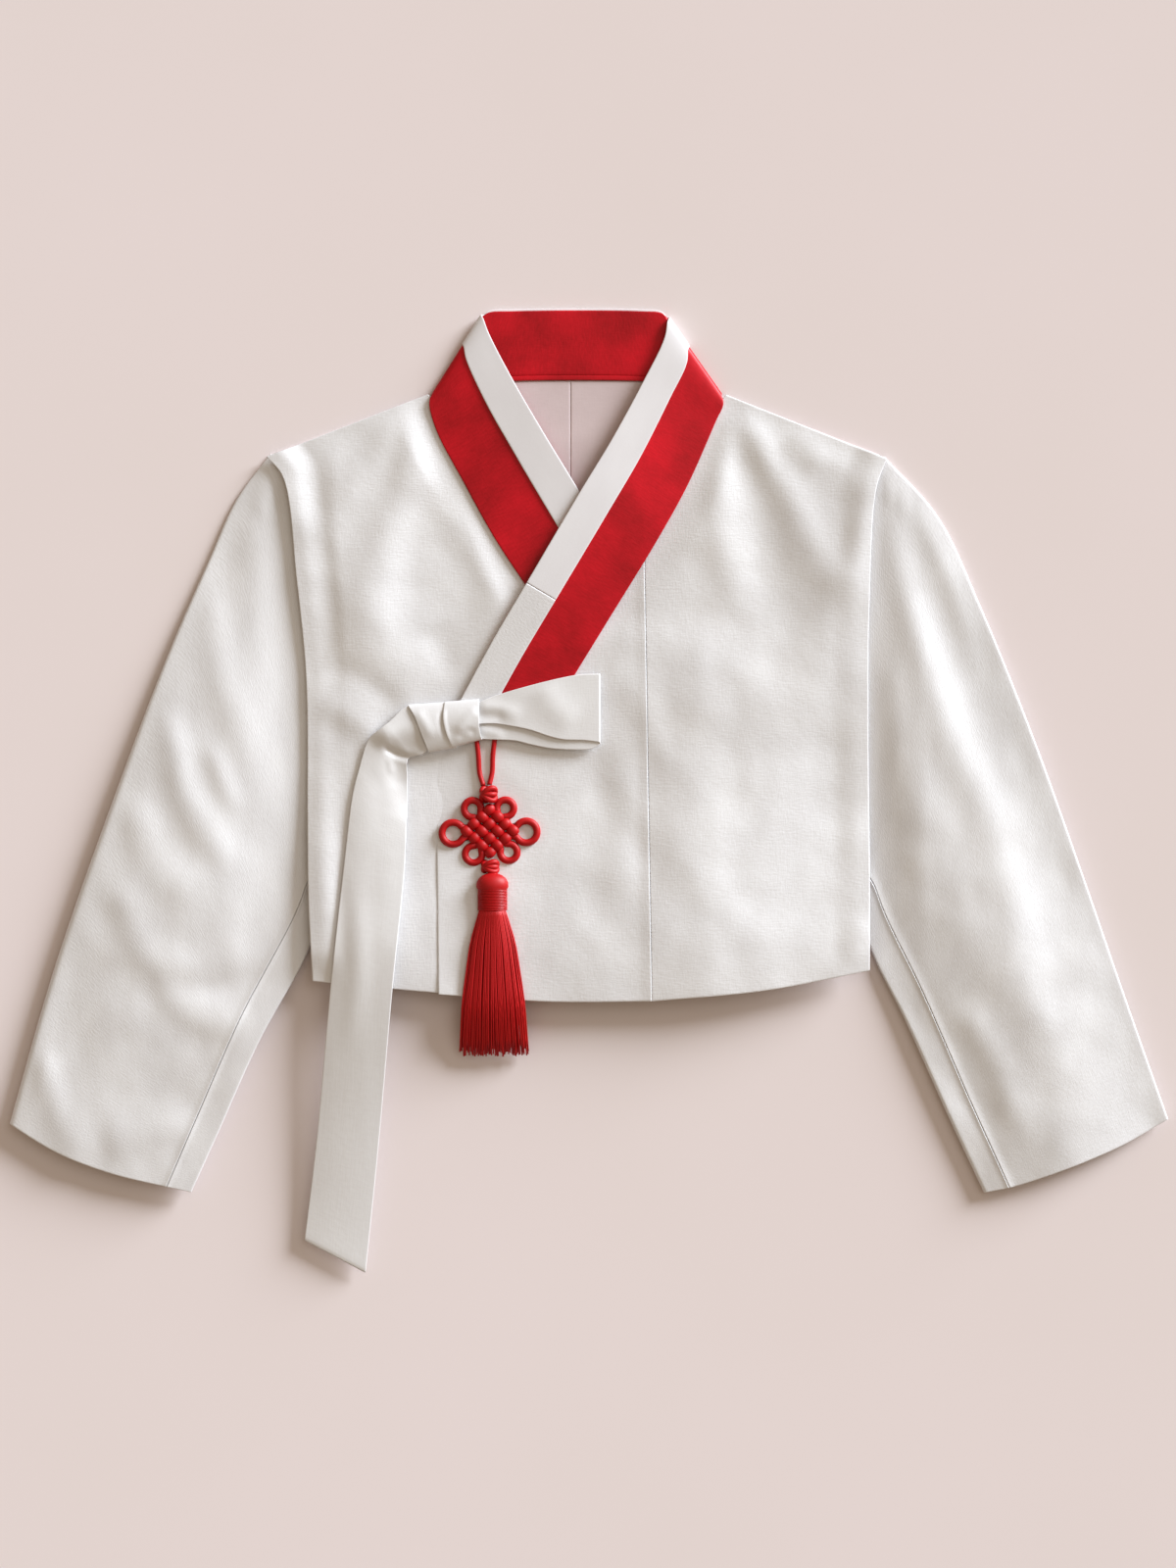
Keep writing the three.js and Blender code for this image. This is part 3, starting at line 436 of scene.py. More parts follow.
# The dark colour of each cord and thread is painted shade in the grooves of its braid, twist or
# wraps.
red_cord = corded("red_cord", srgb(200, 2, 10), srgb(140, 0, 4), 6, 420, 0.5, 0.35)
red_thread = corded("red_thread", srgb(205, 12, 16), srgb(150, 0, 6), 1, 500, 0.5, 0.3)
head_thread = corded("head_thread", srgb(205, 12, 16), srgb(120, 0, 5), 22, 0, 0.5, 0.5)
wrapped_thread = corded(
    "wrapped_thread", srgb(190, 4, 10), srgb(130, 0, 4), 0, 900, 0.38, 0.35)

paint = material_for("table_paint").node_tree
board = paint.nodes["Principled BSDF"]
board.inputs["Roughness"].default_value = 0.9
board.inputs["Specular IOR Level"].default_value = 0.1
table_place = add(paint, "ShaderNodeTexCoord")
cloud = add(paint, "ShaderNodeTexNoise", {"Scale": 3.0, "Detail": 4.0})
pale = add(paint, "ShaderNodeMix", {"A": srgb(228, 216, 216), "B": srgb(223, 212, 209)},
           data_type="RGBA")
wire(paint, table_place, "Object", cloud, "Vector")
wire(paint, cloud, "Fac", pale, "Factor")
wire(paint, pale, "Result", board, "Base Color")


# %% [markdown]
# ## Laying out a cloth
# A cut piece of cloth starts as a flat grid. Each point of the grid is laid on the table where
# the cloth goes, Solidify gives it the thickness of satin and lining, and one level of
# subdivision rounds its pressed edges. The first and last cells are narrow, so that the rounding
# stays at the edge.

# %% Cloth helper
SILK = 1.2  # satin with its lining
RIBBON = 1.0  # the ribbon and the collar's white strips
GIT = 1.8  # the padded collar band
SEAM_GAP = 0.3  # between pieces that are sewn edge to edge
RIM = 0.6  # width of the narrow cells along an edge
SEAM_RIM = 0.3  # the same along a seam, which keeps its edges square


def ticks(cells, length, first=RIM, last=RIM):
    """Shares of a length for grid lines, even but for a narrow cell at both ends."""
    return np.concatenate([[0], np.linspace(first / length, 1 - last / length, cells - 1), [1]])


def grain_of(width, length):
    """Yarns laid evenly over a strip of some width and length (mm)."""
    return lambda u, v: np.column_stack([u * width, v * length])


def cloth(name, across, down, place, thickness, material, grain=None):
    """A sheet of cloth: place gives its middle layer (mm) from two shares of the grid."""
    bm = bmesh.new()
    uv_layer = bm.loops.layers.uv.new("cloth")
    columns, rows = len(across) - 1, len(down) - 1
    bmesh.ops.create_grid(bm, x_segments=columns, y_segments=rows, size=0.5)
    bm.verts.index_update()
    shares = np.array([(vert.co.x + 0.5, vert.co.y + 0.5) for vert in bm.verts])
    u = across[np.rint(shares[:, 0] * columns).astype(int)]
    v = down[np.rint(shares[:, 1] * rows).astype(int)]
    spots = place(u, v)
    yarns = spots[:, :2] if grain is None else grain(u, v)
    for vert, spot in zip(bm.verts, spots * MM):
        vert.co = spot
    for face in bm.faces:
        for loop in face.loops:
            loop[uv_layer].uv = yarns[loop.vert.index] * MM
    piece = finished(bm, name, material)
    wall = piece.modifiers.new("thickness", "SOLIDIFY")
    wall.thickness = thickness * MM
    wall.offset = 0
    soft = piece.modifiers.new("soft", "SUBSURF")
    soft.levels = soft.render_levels = 1
    return piece


# %% [markdown]
# ## Folds
# Satin that lies loosely keeps soft folds that run from where it is held: the side of the neck,
# the point of the shoulder, the bow. A fold is a line that it follows, a height, and its width at
# both ends. Its height dies out towards its ends, and a negative height makes a hollow. A fifth
# number makes the flank on the left of the line that many times as wide as the other.

# %% Fold helpers
def nearest(line, x, y):
    """Distance in plan to a line, the share of it at which it is nearest, and the side."""
    starts, runs = line[:-1], np.diff(line, axis=0)
    gone = np.stack([x, y], -1)[:, None, :] - starts
    t = np.clip((gone * runs).sum(-1) / np.maximum((runs**2).sum(-1), 1e-9), 0, 1)
    away = np.linalg.norm(gone - t[..., None] * runs, axis=-1)
    best = away.argmin(1)
    pick = np.arange(len(x))
    gone, run = gone[pick, best], runs[best]
    side = np.sign(run[:, 0] * gone[:, 1] - run[:, 1] * gone[:, 0])
    return away[pick, best], (best + t[pick, best]) / len(runs), side


def folds(table, x, y):
    """Height that the folds of a table add at some places."""
    total = np.zeros(len(x))
    for line, height, start_width, end_width, *lean in table:
        away, share, side = nearest(edge(line)(np.linspace(0, 1, 40)), x, y)
        width = mix(start_width, end_width, share) * np.where(side > 0, lean[0] if lean else 1, 1)
        dying = smooth(0, 0.22, share) * (1 - smooth(0.7, 1, share))
        total += height * dying * np.exp(-((away / width) ** 2))
    return total


def drift(x, y, size, seed):
    """A slow unevenness between about -1 and 1, with hills about size across."""
    return np.array([noise.noise(Vector((a / size, b / size, seed))) for a, b in zip(x, y)]) * 1.8


CRUMPLES = ((1.15, 90), (0.35, 34), (0.07, 14))  # height and size (mm) of each kind


def crumple(x, y, seed):
    """The slow waves and small creases that satin keeps, in mm."""
    return sum(height * drift(x, y, size, seed + k) for k, (height, size) in enumerate(CRUMPLES))


# %% Where the pieces are held
CENTRE_BACK = -14.4
FRONT_LIFT = 3  # underside of a front that lies on the back alone
OVERLAP_LIFT = 5  # underside of the outer front where the inner front is below it
ARMHOLE_LIFT = 6  # underside of a front's edge where the sleeve tucks below it
LEFT_ARMHOLE_LIFT = 4.3  # the same on the wearer's left
SHOULDER_LIFT = 1.6  # underside of a front along the shoulder
RIGHT_SIDE = [(-262.4, 272), (-248.8, 255.2), (-237.6, 170.4), (-230, 89.6), (-228.8, -18.4),
              (-227.5, -90), (-224, -155.6)]
LEFT_SIDE = [(244, 270.4), (235.2, 245.6), (229.6, 149.6), (228.8, 61.6), (229.6, -60.8),
             (229.2, -147)]
INNER_NECKLINE = [(-130.5, 323.4), (-124, 312), (-118, 296), (-98, 259), (-75.6, 218), (-44, 172),
                  (-14, 118)]
OUTER_NECKLINE = [(112.6, 323), (105, 312), (98, 297), (81, 262.7)]
SEOP_SEAM = [(46.2, 190), (52, -172)]
SEOP_NECKLINE = [(-124, 52), (-70, 56), (-34, 66), (-16.7, 97.6), (4.6, 132.4)]
SEOP_EDGE = [(-124, 52), (-124, 20), (-121.6, -166.4)]

INNER_FOLDS = [
    ([(-206, 320), (-204, 220), (-196, 120), (-198, 30), (-204, -70), (-206, -230)], 10, 17, 17, 2.8),
    ([(-138, 330), (-146, 262), (-168, 198), (-176, 145), (-152, 96), (-124, 66)], 6.5, 13, 24),
    ([(-153, 318), (-180, 262), (-222, 222)], 3, 9, 16),
    ([(-258, 266), (-236, 222), (-190, 206)], 2.5, 12, 22),
    ([(-96, 240), (-82, 185), (-76, 150), (-104, 84)], 3.4, 10, 18),
    ([(-130, 136), (-118, 112), (-112, 88)], -2.5, 14, 12),
    ([(-220, 74), (-194, 58), (-165, 40)], 3.5, 12, 10),
    ([(-214, 104), (-180, 86), (-148, 64)], -3, 14, 9),
    ([(-216, 30), (-219, -40), (-216, -110)], 2, 9, 9),
]
OUTER_FOLDS = [
    ([(113, 330), (106, 253), (110, 195), (138, 116)], 4.6, 9, 20),
    ([(120, 312), (141, 217), (164, 140)], -2, 10, 20),
    ([(112, 336), (144, 270), (176, 214), (198, 160), (188, 94), (140, 40)], 6.5, 10, 27),
    ([(168, 296), (180, 276), (194, 258)], 2, 12, 12),
    ([(236, 266), (222, 208), (202, 140)], 4.6, 11, 15),
    ([(104, 150), (106, 50), (104, -60), (112, -260)], 13, 60, 60, 1.25),
    ([(20, 110), (60, 34), (84, 6)], 2.4, 16, 12),
    ([(0, 20), (30, -30), (66, -80)], -2, 14, 14),
    ([(112, -90), (138, -126), (156, -160)], 1.2, 22, 22),
    ([(232, -104), (214, -136), (190, -162)], 2.6, 12, 13),
    ([(24, 60), (30, -20), (20, -120)], 2, 14, 14),
]

# %% [markdown]
# ## Collar lines
# The collar is one long band. Short lines across it, from its neck edge to its seam, say where it
# lies. At each side of the neck it turns over, so that the back of the collar shows its inner
# face and the fronts show their outer one.

# %% Collar lines
NECK_FOLD_RADIUS = 1.45  # radius of the middle layer where the collar turns over
LOW, HIGH = 1.4, 4.0  # heights of the back collar's seam and of its neck edge
NECK_FOLD_RIGHT = ((-88, 388.8, HIGH), (-128, 324.8, LOW))
NECK_FOLD_LEFT = ((66.8, 386, HIGH), (110.4, 324.2, LOW))
BACK_LINES = [((-81, 391.6, HIGH), (-110, 330.2, LOW)), ((-60, 392.8, HIGH), (-75, 333.6, LOW)),
              ((-10, 393.4, HIGH), (-10, 334.8, LOW)), ((42, 392.8, HIGH), (57, 333.6, LOW)),
              ((60, 391.0, HIGH), (93, 330.2, LOW))]
RIGHT_FRONT_LINES = [
    ((-82, 375, 8.2), (-129.6, 317, 5.6)), ((-61.2, 334.4, 9), (-124.5, 295, 5.5)),
    ((-34.4, 288.3, 8.6), (-101, 250, 5.5)), ((-6.6, 242.7, 7.4), (-76, 205, 5.5)),
    ((12, 210, 6.8), (-38, 148, 5.8))]
LEFT_FRONT_LINES = [
    ((62.5, 369, 7.8), (110.6, 315, 5.6)), ((45.4, 333.7, 8.4), (104.5, 301, 5.8)),
    ((19.6, 286.1, 10), (81.5, 249, 7.6)), ((-6.6, 242.7, 11.4), (57.3, 205, 9.2)),
    ((-50, 168.8, 10.8), (12.6, 132, 9.2)), ((-77, 123, 9.4), (-14.4, 88, 8.2)),
    ((-107, 68, 7.6), (-26.6, 68, 7.5))]


def neck_turn(fold, count=14):
    """The collar's turn at the side of the neck, as rows of neck, seam and facing."""
    neck, seam = np.array(fold)
    along = (seam - neck) * (1, 1, 0)
    along /= np.linalg.norm(along)
    out = np.array([along[1], -along[0], 0])
    out *= np.sign(out[0] * (neck[0] - CENTRE_BACK))
    rows = []
    for angle in np.linspace(0, math.pi, count + 1):
        inset = NECK_FOLD_RADIUS * (math.sin(angle) - 1) - GIT / 2
        moved = out * inset + np.array([0, 0, NECK_FOLD_RADIUS * (1 - math.cos(angle))])
        facing = out * math.sin(angle) - np.array([0, 0, math.cos(angle)])
        rows.append([neck + moved, seam + moved, facing])
    return np.array(rows)


def between(lines, facing, count=12):
    """Rows of neck, seam and facing, smoothly through some cross lines."""
    neck, seam = (through([line[k] for line in lines], count) for k in (0, 1))
    return np.stack([neck, seam, np.tile((0, 0, facing), (len(neck), 1))], 1)


right_turn, left_turn = neck_turn(NECK_FOLD_RIGHT), neck_turn(NECK_FOLD_LEFT)
right_front = between([right_turn[-1, :2], *RIGHT_FRONT_LINES], 1.0)
left_front = between([left_turn[-1, :2], *LEFT_FRONT_LINES], 1.0)
back_collar = between([right_turn[0, :2], *BACK_LINES, left_turn[0, :2]], -1.0)
round_neck = np.concatenate([right_front[:0:-1], right_turn[::-1], back_collar[1:-1], left_turn])


def beside_collar(x, y):
    """How much of a fold is left beside the collar, which holds the fronts down."""
    away = [nearest(np.array([seam[:2] for _, seam in lines]), x, y)[0]
            for lines in (RIGHT_FRONT_LINES, LEFT_FRONT_LINES)]
    return smooth(2, 28, np.minimum(*away))


def edge_lift(side, neck, lift, x, y):
    """Change of a front's height beside its armhole and along its shoulder."""
    shoulder = 1 - smooth(0, 26, nearest(np.array([side[0], neck]), x, y)[0])
    armhole = (1 - smooth(8, 30, nearest(np.array(side), x, y)[0])) * smooth(-154, -130, y)
    return mix((SHOULDER_LIFT - FRONT_LIFT) * shoulder, lift - FRONT_LIFT, armhole)


FOLD = 0.38  # share of the heights in the fold tables that a pressed front keeps
SEAM_STEP = 0.5  # how far the overlap stands proud along its seam
AIR = 1.2  # how far a front stands off the back away from its edges
HEM_LIFT = 12  # how far the lower edge stands up
HEM_Y = -168  # how far down the hem reaches where the ribbon and tassel cross it
BACK_TOP = SILK + 0.2  # lowest height of a front above the table
COVERED_X, COVERED_Y = (-128, -96), (60, 110)  # where the inner front goes under the outer one
OVERLAP_X, OVERLAP_Y = (85, 125), (118, 150)  # where the outer front leaves the inner one


def hem_lift(y):
    """Rise of a front towards its hem."""
    return HEM_LIFT * smooth(40, -190, y)


def above_back(lift):
    """The same height, eased so that it never goes below the top of the back."""
    spare = lift - BACK_TOP
    return BACK_TOP + (spare + np.sqrt(spare**2 + 1.5)) / 2


def inner_front(x, y):
    """Height of the underside of the wearer's right front, whose hem rises where it shows."""
    free = beside_collar(x, y) * (1 - smooth(*COVERED_X, x) * (1 - smooth(*COVERED_Y, y)))
    loose = (AIR + FOLD * folds(INNER_FOLDS, x, y) + crumple(x, y, 3)) * free
    edges = edge_lift(RIGHT_SIDE, INNER_NECKLINE[0], ARMHOLE_LIFT, x, y)
    return above_back(FRONT_LIFT + loose + edges + hem_lift(y) * (x < -100))


def outer_front(x, y):
    """Height of the underside of the wearer's left front and its overlap."""
    over = (1 - smooth(*OVERLAP_X, x)) * (1 - smooth(*OVERLAP_Y, y))
    loose = AIR * (1 - over) + FOLD * folds(OUTER_FOLDS, x, y) + crumple(x, y, 5)
    edges = edge_lift(LEFT_SIDE, OUTER_NECKLINE[0], LEFT_ARMHOLE_LIFT, x, y)
    base = mix(FRONT_LIFT, OVERLAP_LIFT, over)
    return above_back(base + loose * beside_collar(x, y) + edges + hem_lift(y))


def laid(plan, height):
    """A place function for a cloth that lies at a height given by its plan."""
    def place(u, v):
        spots = plan(u, v)
        return np.column_stack([spots, height(spots[:, 0], spots[:, 1]) + SILK / 2])
    return place


# %% [markdown]
# ## Fronts, overlap and back
# The two fronts, the seop that widens the outer front, and the two halves of the back are flat
# cuts. The outer front and the seop meet along a straight seam.

# %% Body panels
hem_right = edge([RIGHT_SIDE[-1], (-120, -165.2), (-32, -169), (70, -166)])
front_right = cloth(
    "front_right", ticks(66, 330), ticks(96, 490),
    laid(patch(edge([RIGHT_SIDE[0], INNER_NECKLINE[0]]), hem_right, edge(RIGHT_SIDE),
               cornered(edge(INNER_NECKLINE), edge([INNER_NECKLINE[-1], (70, -166)]), 10 / 22)),
         inner_front), SILK, white_satin)

seam_top, seam_end = ((x + SEAM_GAP / 2, y) for x, y in SEOP_SEAM)
front_left = cloth(
    "front_left", ticks(52, 180, SEAM_RIM), ticks(96, 490),
    laid(patch(edge([OUTER_NECKLINE[0], LEFT_SIDE[0]]), edge([seam_end, (145, -163), LEFT_SIDE[-1]]),
               cornered(edge([*OUTER_NECKLINE, seam_top]), edge([seam_top, seam_end]), 7 / 22),
               edge(LEFT_SIDE)),
         outer_front), SILK, white_satin)


def seop_lies(x, y):
    """Height of the overlap, which stands proud where its edge is turned in along the seam."""
    seam_x, seam_y = np.array(SEOP_SEAM).T
    return outer_front(x, y) + SEAM_STEP * smooth(-9, 0, x - np.interp(-y, -seam_y, seam_x))


seam_top, seam_end = ((x - SEAM_GAP / 2, y) for x, y in SEOP_SEAM)
seop = cloth(
    "seop", ticks(44, 175, RIM, SEAM_RIM), ticks(66, 230),
    laid(patch(edge([*SEOP_NECKLINE, seam_top]), edge([SEOP_EDGE[-1], (-32, -172.3), seam_end]),
               edge(SEOP_EDGE), edge([seam_top, seam_end])), seop_lies),
    SILK, white_satin)


def back_half(name, side, side_edge, shoulder, neck, neckline, hem):
    """One half of the back: side is -1 for the wearer's right."""
    seam = CENTRE_BACK + side * SEAM_GAP / 2
    plan = patch(cornered(edge([shoulder, neck]), edge([neck, *neckline, (seam, 334.3)]), 0.5),
                 edge([side_edge[-1], *hem, (seam, -170)]), edge([shoulder, *side_edge]),
                 edge([(seam, 334.3), (seam, -170)]))
    # The lining's face is darker partly as painted shade where the back shows inside the neck.
    faces = [white_satin, lining_painted_shade][::-side]
    back = cloth(name, ticks(44, 240, RIM, SEAM_RIM), ticks(60, 500),
                 laid(plan, lambda x, y: np.zeros(len(x))), SILK, faces[0])
    back.data.materials.append(faces[1])
    back.modifiers["thickness"].material_offset = 1
    return back


back_right = back_half("back_right", -1, [
    (-241.6, 255.6), (-230.8, 170.4), (-223.4, 89.6), (-222, -18.4), (-216.5, -60), (-215.4, -95),
    (-219, -130), (-221, -154)], (-255.6, 276), (-130.2, 321.8), [(-104, 325.4), (-60, 333.2)],
    [(-120, -164)])
back_left = back_half("back_left", 1, [
    (228.4, 246), (222.8, 149.6), (222, 61.6), (222.8, -18.4), (217.6, -60), (217, -95),
    (222, -132), (226, -147)], (237.6, 274.4), (112.2, 321), [(86, 325.4), (44, 333.2)],
    [(130, -161), (40, -170)])

# %% [markdown]
# ## Sleeves
# A sleeve is one length of satin. It starts at the underarm seam, turns under along the lower
# fold, lies on the table, turns up along the outer fold and comes back to the seam on top. The
# grid is walked in the same order, with most of its columns in the part that shows. The fold
# beside the lamp is pressed flat, and the other one is round and stands off the table.

# %% Sleeves
SLEEVE_FLOOR = SILK / 2  # height of the middle layer where it lies on the table
SLEEVE_HEAD = 2.6  # height of the upper layer at the armhole
ARM_FOLD = 0.48  # share of the heights in the fold tables that a sleeve keeps
EDGE_RISE = 3.0  # height of a sleeve's round fold above the table
PRESSED = 0.7  # radius of its pressed fold
SLEEVE_GRAIN = (420, 560)  # mm round a sleeve and along it, for its yarns
WELT, WELT_WIDTH = 0.7, 2.2  # the ridge that the turned-in edges make under a seam
RIGHT_ARM = dict(
    armhole=[(-225.8, -60.8), (-225.8, -18.4), (-227, 89.6), (-234.6, 170.4), (-245.8, 255.2),
             (-259.5, 275)],
    outer=[(-259.5, 275), (-287.2, 237.6), (-309.6, 188), (-340.8, 116), (-381.6, 8.8),
           (-435.2, -144), (-472, -272)],
    lower=[(-225.8, -60.8), (-220.5, -90), (-226.4, -125.6), (-268.8, -206.4), (-300.8, -278.4),
           (-323.2, -328)],
    cuff=[(-323.2, -328), (-390.4, -312), (-435.2, -294.4), (-472, -272)])
LEFT_ARM = dict(
    armhole=[(226.6, -61.2), (226.6, -18.4), (225.8, 61.6), (226.6, 149.6), (232.2, 245.6),
             (241.5, 273)],
    outer=[(241.5, 273), (285.6, 224), (320.8, 149.6), (364.8, 40), (404, -69.6), (439.2, -171.2),
           (473.6, -268.8)],
    lower=[(226.6, -61.2), (222.5, -93), (230.8, -129.2), (259.2, -188.4), (294.4, -267.2),
           (323.2, -328.8)],
    cuff=[(323.2, -328.8), (351.2, -322.4), (432.8, -291.2), (473.6, -268.8)])
RIGHT_ARM_FOLDS = [
    ([(-262, 276), (-262, 256), (-261, 232)], 3, 3.4, 4),
    ([(-272, 262), (-268, 244), (-267, 220)], 2.6, 3.4, 4.4),
    ([(-256, 262), (-254, 246), (-254, 226)], -2.4, 3, 3),
    ([(-272, 262), (-271, 170), (-272, 97), (-282, -10)], 3, 12, 26),
    ([(-316, 190), (-300, 97), (-282, 34), (-264, -40)], 3.2, 12, 24),
    ([(-310, 40), (-300, 12), (-284, -24)], 2.4, 9, 9),
    ([(-344, 72), (-328, -5), (-302, -48), (-272, -80)], 4.4, 10, 18),
    ([(-376, 0), (-348, -67), (-300, -98)], 4, 13, 26),
    ([(-388, -70), (-354, -138), (-298, -150)], 3.5, 12, 22),
    ([(-350, -154), (-300, -160), (-250, -146)], -2, 10, 11),
    ([(-356, -164), (-308, -190), (-268, -184)], 1.8, 13, 12),
    ([(-450, -205), (-432, -262), (-402, -310)], 4, 10, 18),
    ([(-400, -292), (-356, -280), (-318, -262)], 2.4, 15, 15),
]
LEFT_ARM_FOLDS = [
    ([(243, 276), (245, 256), (246, 230)], 3, 3.4, 4),
    ([(252, 266), (256, 246), (260, 222)], 2.4, 3.4, 4.4),
    ([(250, 272), (252, 195), (272, 120), (294, 54), (330, -35), (350, -101), (350, -154),
      (380, -212), (424, -300)], 4.6, 10, 26),
    ([(260, 260), (290, 184), (326, 80)], 1.6, 7, 12),
    ([(250, 110), (251, 60), (253, 0)], 0.9, 9, 9),
    ([(268, -40), (270, -80), (272, -116)], 1, 11, 11),
    ([(300, -170), (330, -220), (356, -290)], 3, 13, 13),
]
# Where the five parts begin, as shares of the way round: strip, lower fold, floor, outer fold, top.
WAY = ([0, 0.1, 0.17, 0.29, 0.36, 1], [0, 1, 2, 3, 4, 5])
# Shares of the grid's columns and of the way round that they lie at: few below, many on top.
COLUMNS = ([0, 0.0143, 0.14, 0.24, 0.34, 0.44, 0.9857, 1],
           [0, 0.003, 0.1, 0.17, 0.29, 0.36, 0.9985, 1])


def seam_share(v):
    """Share of the sleeve's width between its lower fold and the underarm seam."""
    return 0.022 + 0.095 * smooth(0, 0.2, v) + 0.012 * v


def sleeve(name, outline, side, form, table):
    """A sleeve as one sheet: strip, lower fold, floor, outer fold and top."""
    plan = patch(*(edge(outline[key]) for key in ("armhole", "cuff", "lower", "outer")))
    side = np.array(side)

    def place(u, v):
        width = np.linalg.norm(plan(0 * v, v) - plan(0 * v + 1, v), axis=-1)
        upper = mix(SLEEVE_HEAD, form["body"], smooth(0.02, 0.6, v))
        rise = [EDGE_RISE * smooth(0.08, 0.4, v)] * 2
        rise[form["pressed"]] = upper - SLEEVE_FLOOR - 2 * PRESSED
        radius = [(upper - SLEEVE_FLOOR - r) / 2 for r in rise]
        turn = [(r + SILK / 2) / width for r in radius]
        seam, gap = seam_share(v), SEAM_GAP / 2 / width
        way = np.interp(u, *WAY)
        low_angle, high_angle = math.pi * (1.5 - way), math.pi * (way - 3.5)
        parts = [way < 1, way < 2, way < 3, way < 4]
        low_turn = turn[0] - radius[0] * np.cos(low_angle) / width
        high_turn = 1 - turn[1] + radius[1] * np.cos(high_angle) / width
        across = np.select(
            parts, [mix(seam - gap, turn[0], way), low_turn, mix(turn[0], 1 - turn[1], way - 2),
                    high_turn], mix(1 - turn[1], seam + gap, way - 4))
        low, high = (SLEEVE_FLOOR + r + q for r, q in zip(rise, radius))
        floor = SLEEVE_FLOOR + rise[0] * smooth(0.3, 0, across) + rise[1] * smooth(0.7, 1, across)
        spots = plan(across, v)
        x, y = spots.T
        room = smooth(0, 18, across * width) * smooth(0, 18, (1 - across) * width)
        outside = np.sign(x) * (x - np.interp(-y, -side[:, 1], side[:, 0]))
        head = smooth(*form["tuck"], outside)
        loose = ARM_FOLD * folds(table, x, y) * smooth(-2, 14, outside)
        loose += crumple(x, y, form["seed"]) * head
        start, crest, end = form["arch"]
        arch = form["puff"] * head * smooth(start, crest, across) * smooth(end, crest, across)
        arch += WELT * np.exp(-((across - seam) * width / WELT_WIDTH) ** 2)
        height = np.select(parts, [
            upper, low + radius[0] * np.sin(low_angle), floor,
            high + radius[1] * np.sin(high_angle)], upper)
        return np.column_stack([spots, height + (loose * room + arch) * ((way < 1) | (way > 4))])

    across = np.interp(np.linspace(0, 1, 71), *COLUMNS)
    return cloth(name, across, ticks(104, 560), place, SILK, white_satin,
                 grain_of(*SLEEVE_GRAIN))


# Each sleeve: the seed of its crumples; tuck, the mm beyond the front's edge over which it comes
# free; body, the height of its upper layer; puff and arch, the height of a broad swell and the
# shares of the width where it starts, is highest and ends; pressed, 0 for the lower fold, 1 for
# the outer one.
sleeve_right = sleeve(
    "right_sleeve", RIGHT_ARM, RIGHT_SIDE,
    dict(seed=12, tuck=(14, 74), body=11, puff=1.6, arch=(0.1, 0.6, 1), pressed=0),
    RIGHT_ARM_FOLDS)
sleeve_left = sleeve(
    "left_sleeve", LEFT_ARM, LEFT_SIDE,
    dict(seed=11, tuck=(-6, 48), body=7.5, puff=5.4, arch=(0, 0.46, 0.95), pressed=1),
    LEFT_ARM_FOLDS)

# %% [markdown]
# ## Collar band and white strips
# The git, the dongjeong on its neck side and the band that finishes the dongjeong's lower end are
# strips along the same cross lines, each at its own height.

# %% Collar
WHITE_SHARE = 0.38  # share of the collar's width that the white strip covers
DONGJEONG_END = 5 / 7  # where on the left front the dongjeong stops
COLLAR_WIDTH = 75
# The groove sewn on the back collar: share of the width, its own share of the width, depth (mm).
SEAM_LINE, SEAM_WIDTH, SEAM_DEPTH = 0.93, 0.008, 0.5
SEAM_CELLS = np.array([-0.02, -0.01, 0, 0.01, 0.02])


def strip_along(name, rows, neck_side, seam_side, cells, offset, thickness, material):
    """A strip along the collar from one share of its width to another."""
    middle = rows[:, 0] * 0.5 + rows[:, 1] * 0.5
    run = run_of(middle)
    whole = rows.reshape(len(rows), 9)

    def place(u, v):
        at = at_run(whole, run, v * run[-1]).reshape(-1, 3, 3)
        share = mix(neck_side, seam_side, u)[:, None]
        sewn = SEAM_DEPTH * np.exp(-(((share - SEAM_LINE) / SEAM_WIDTH) ** 2)) * (at[:, 2, 2:] < 0)
        return mix(at[:, 0], at[:, 1], share) + at[:, 2] * offset + (0, 0, -1) * sewn

    width = seam_side - neck_side
    near_seam = (SEAM_LINE + SEAM_CELLS - neck_side) / width
    across = np.append(ticks(cells, COLLAR_WIDTH * width), near_seam[near_seam < 0.99])
    return cloth(name, np.sort(across), ticks(round(run[-1] / 3.4), run[-1]),
                 place, thickness, material, grain_of(COLLAR_WIDTH, run[-1]))


split = round(DONGJEONG_END * (len(left_front) - 1))
strip_offset = GIT / 2 + SEAM_GAP + RIBBON / 2
end_rows = left_front[split:].copy()
end_rows[0] = mix(left_front[split], left_front[split + 1], 0.05)
git = strip_along("git_band", np.concatenate([round_neck, left_front[1:]]), 0.03, 1, 16, 0, GIT,
                  red_satin)
dongjeong = strip_along("dongjeong_strip", np.concatenate([round_neck, left_front[1:split + 1]]),
                        0, WHITE_SHARE, 8, strip_offset, RIBBON, strip_cloth)
end_band = strip_along("end_band", end_rows, 0.0, WHITE_SHARE, 8, strip_offset, RIBBON,
                       white_satin)

# %% [markdown]
# ## The tied ribbon
# The goreum is tied in a bow with one ear. The tail comes out from under the knot, turns down and
# ends in a slanted cut. The ear is the same ribbon, which runs out, turns back and goes into the
# knot again.

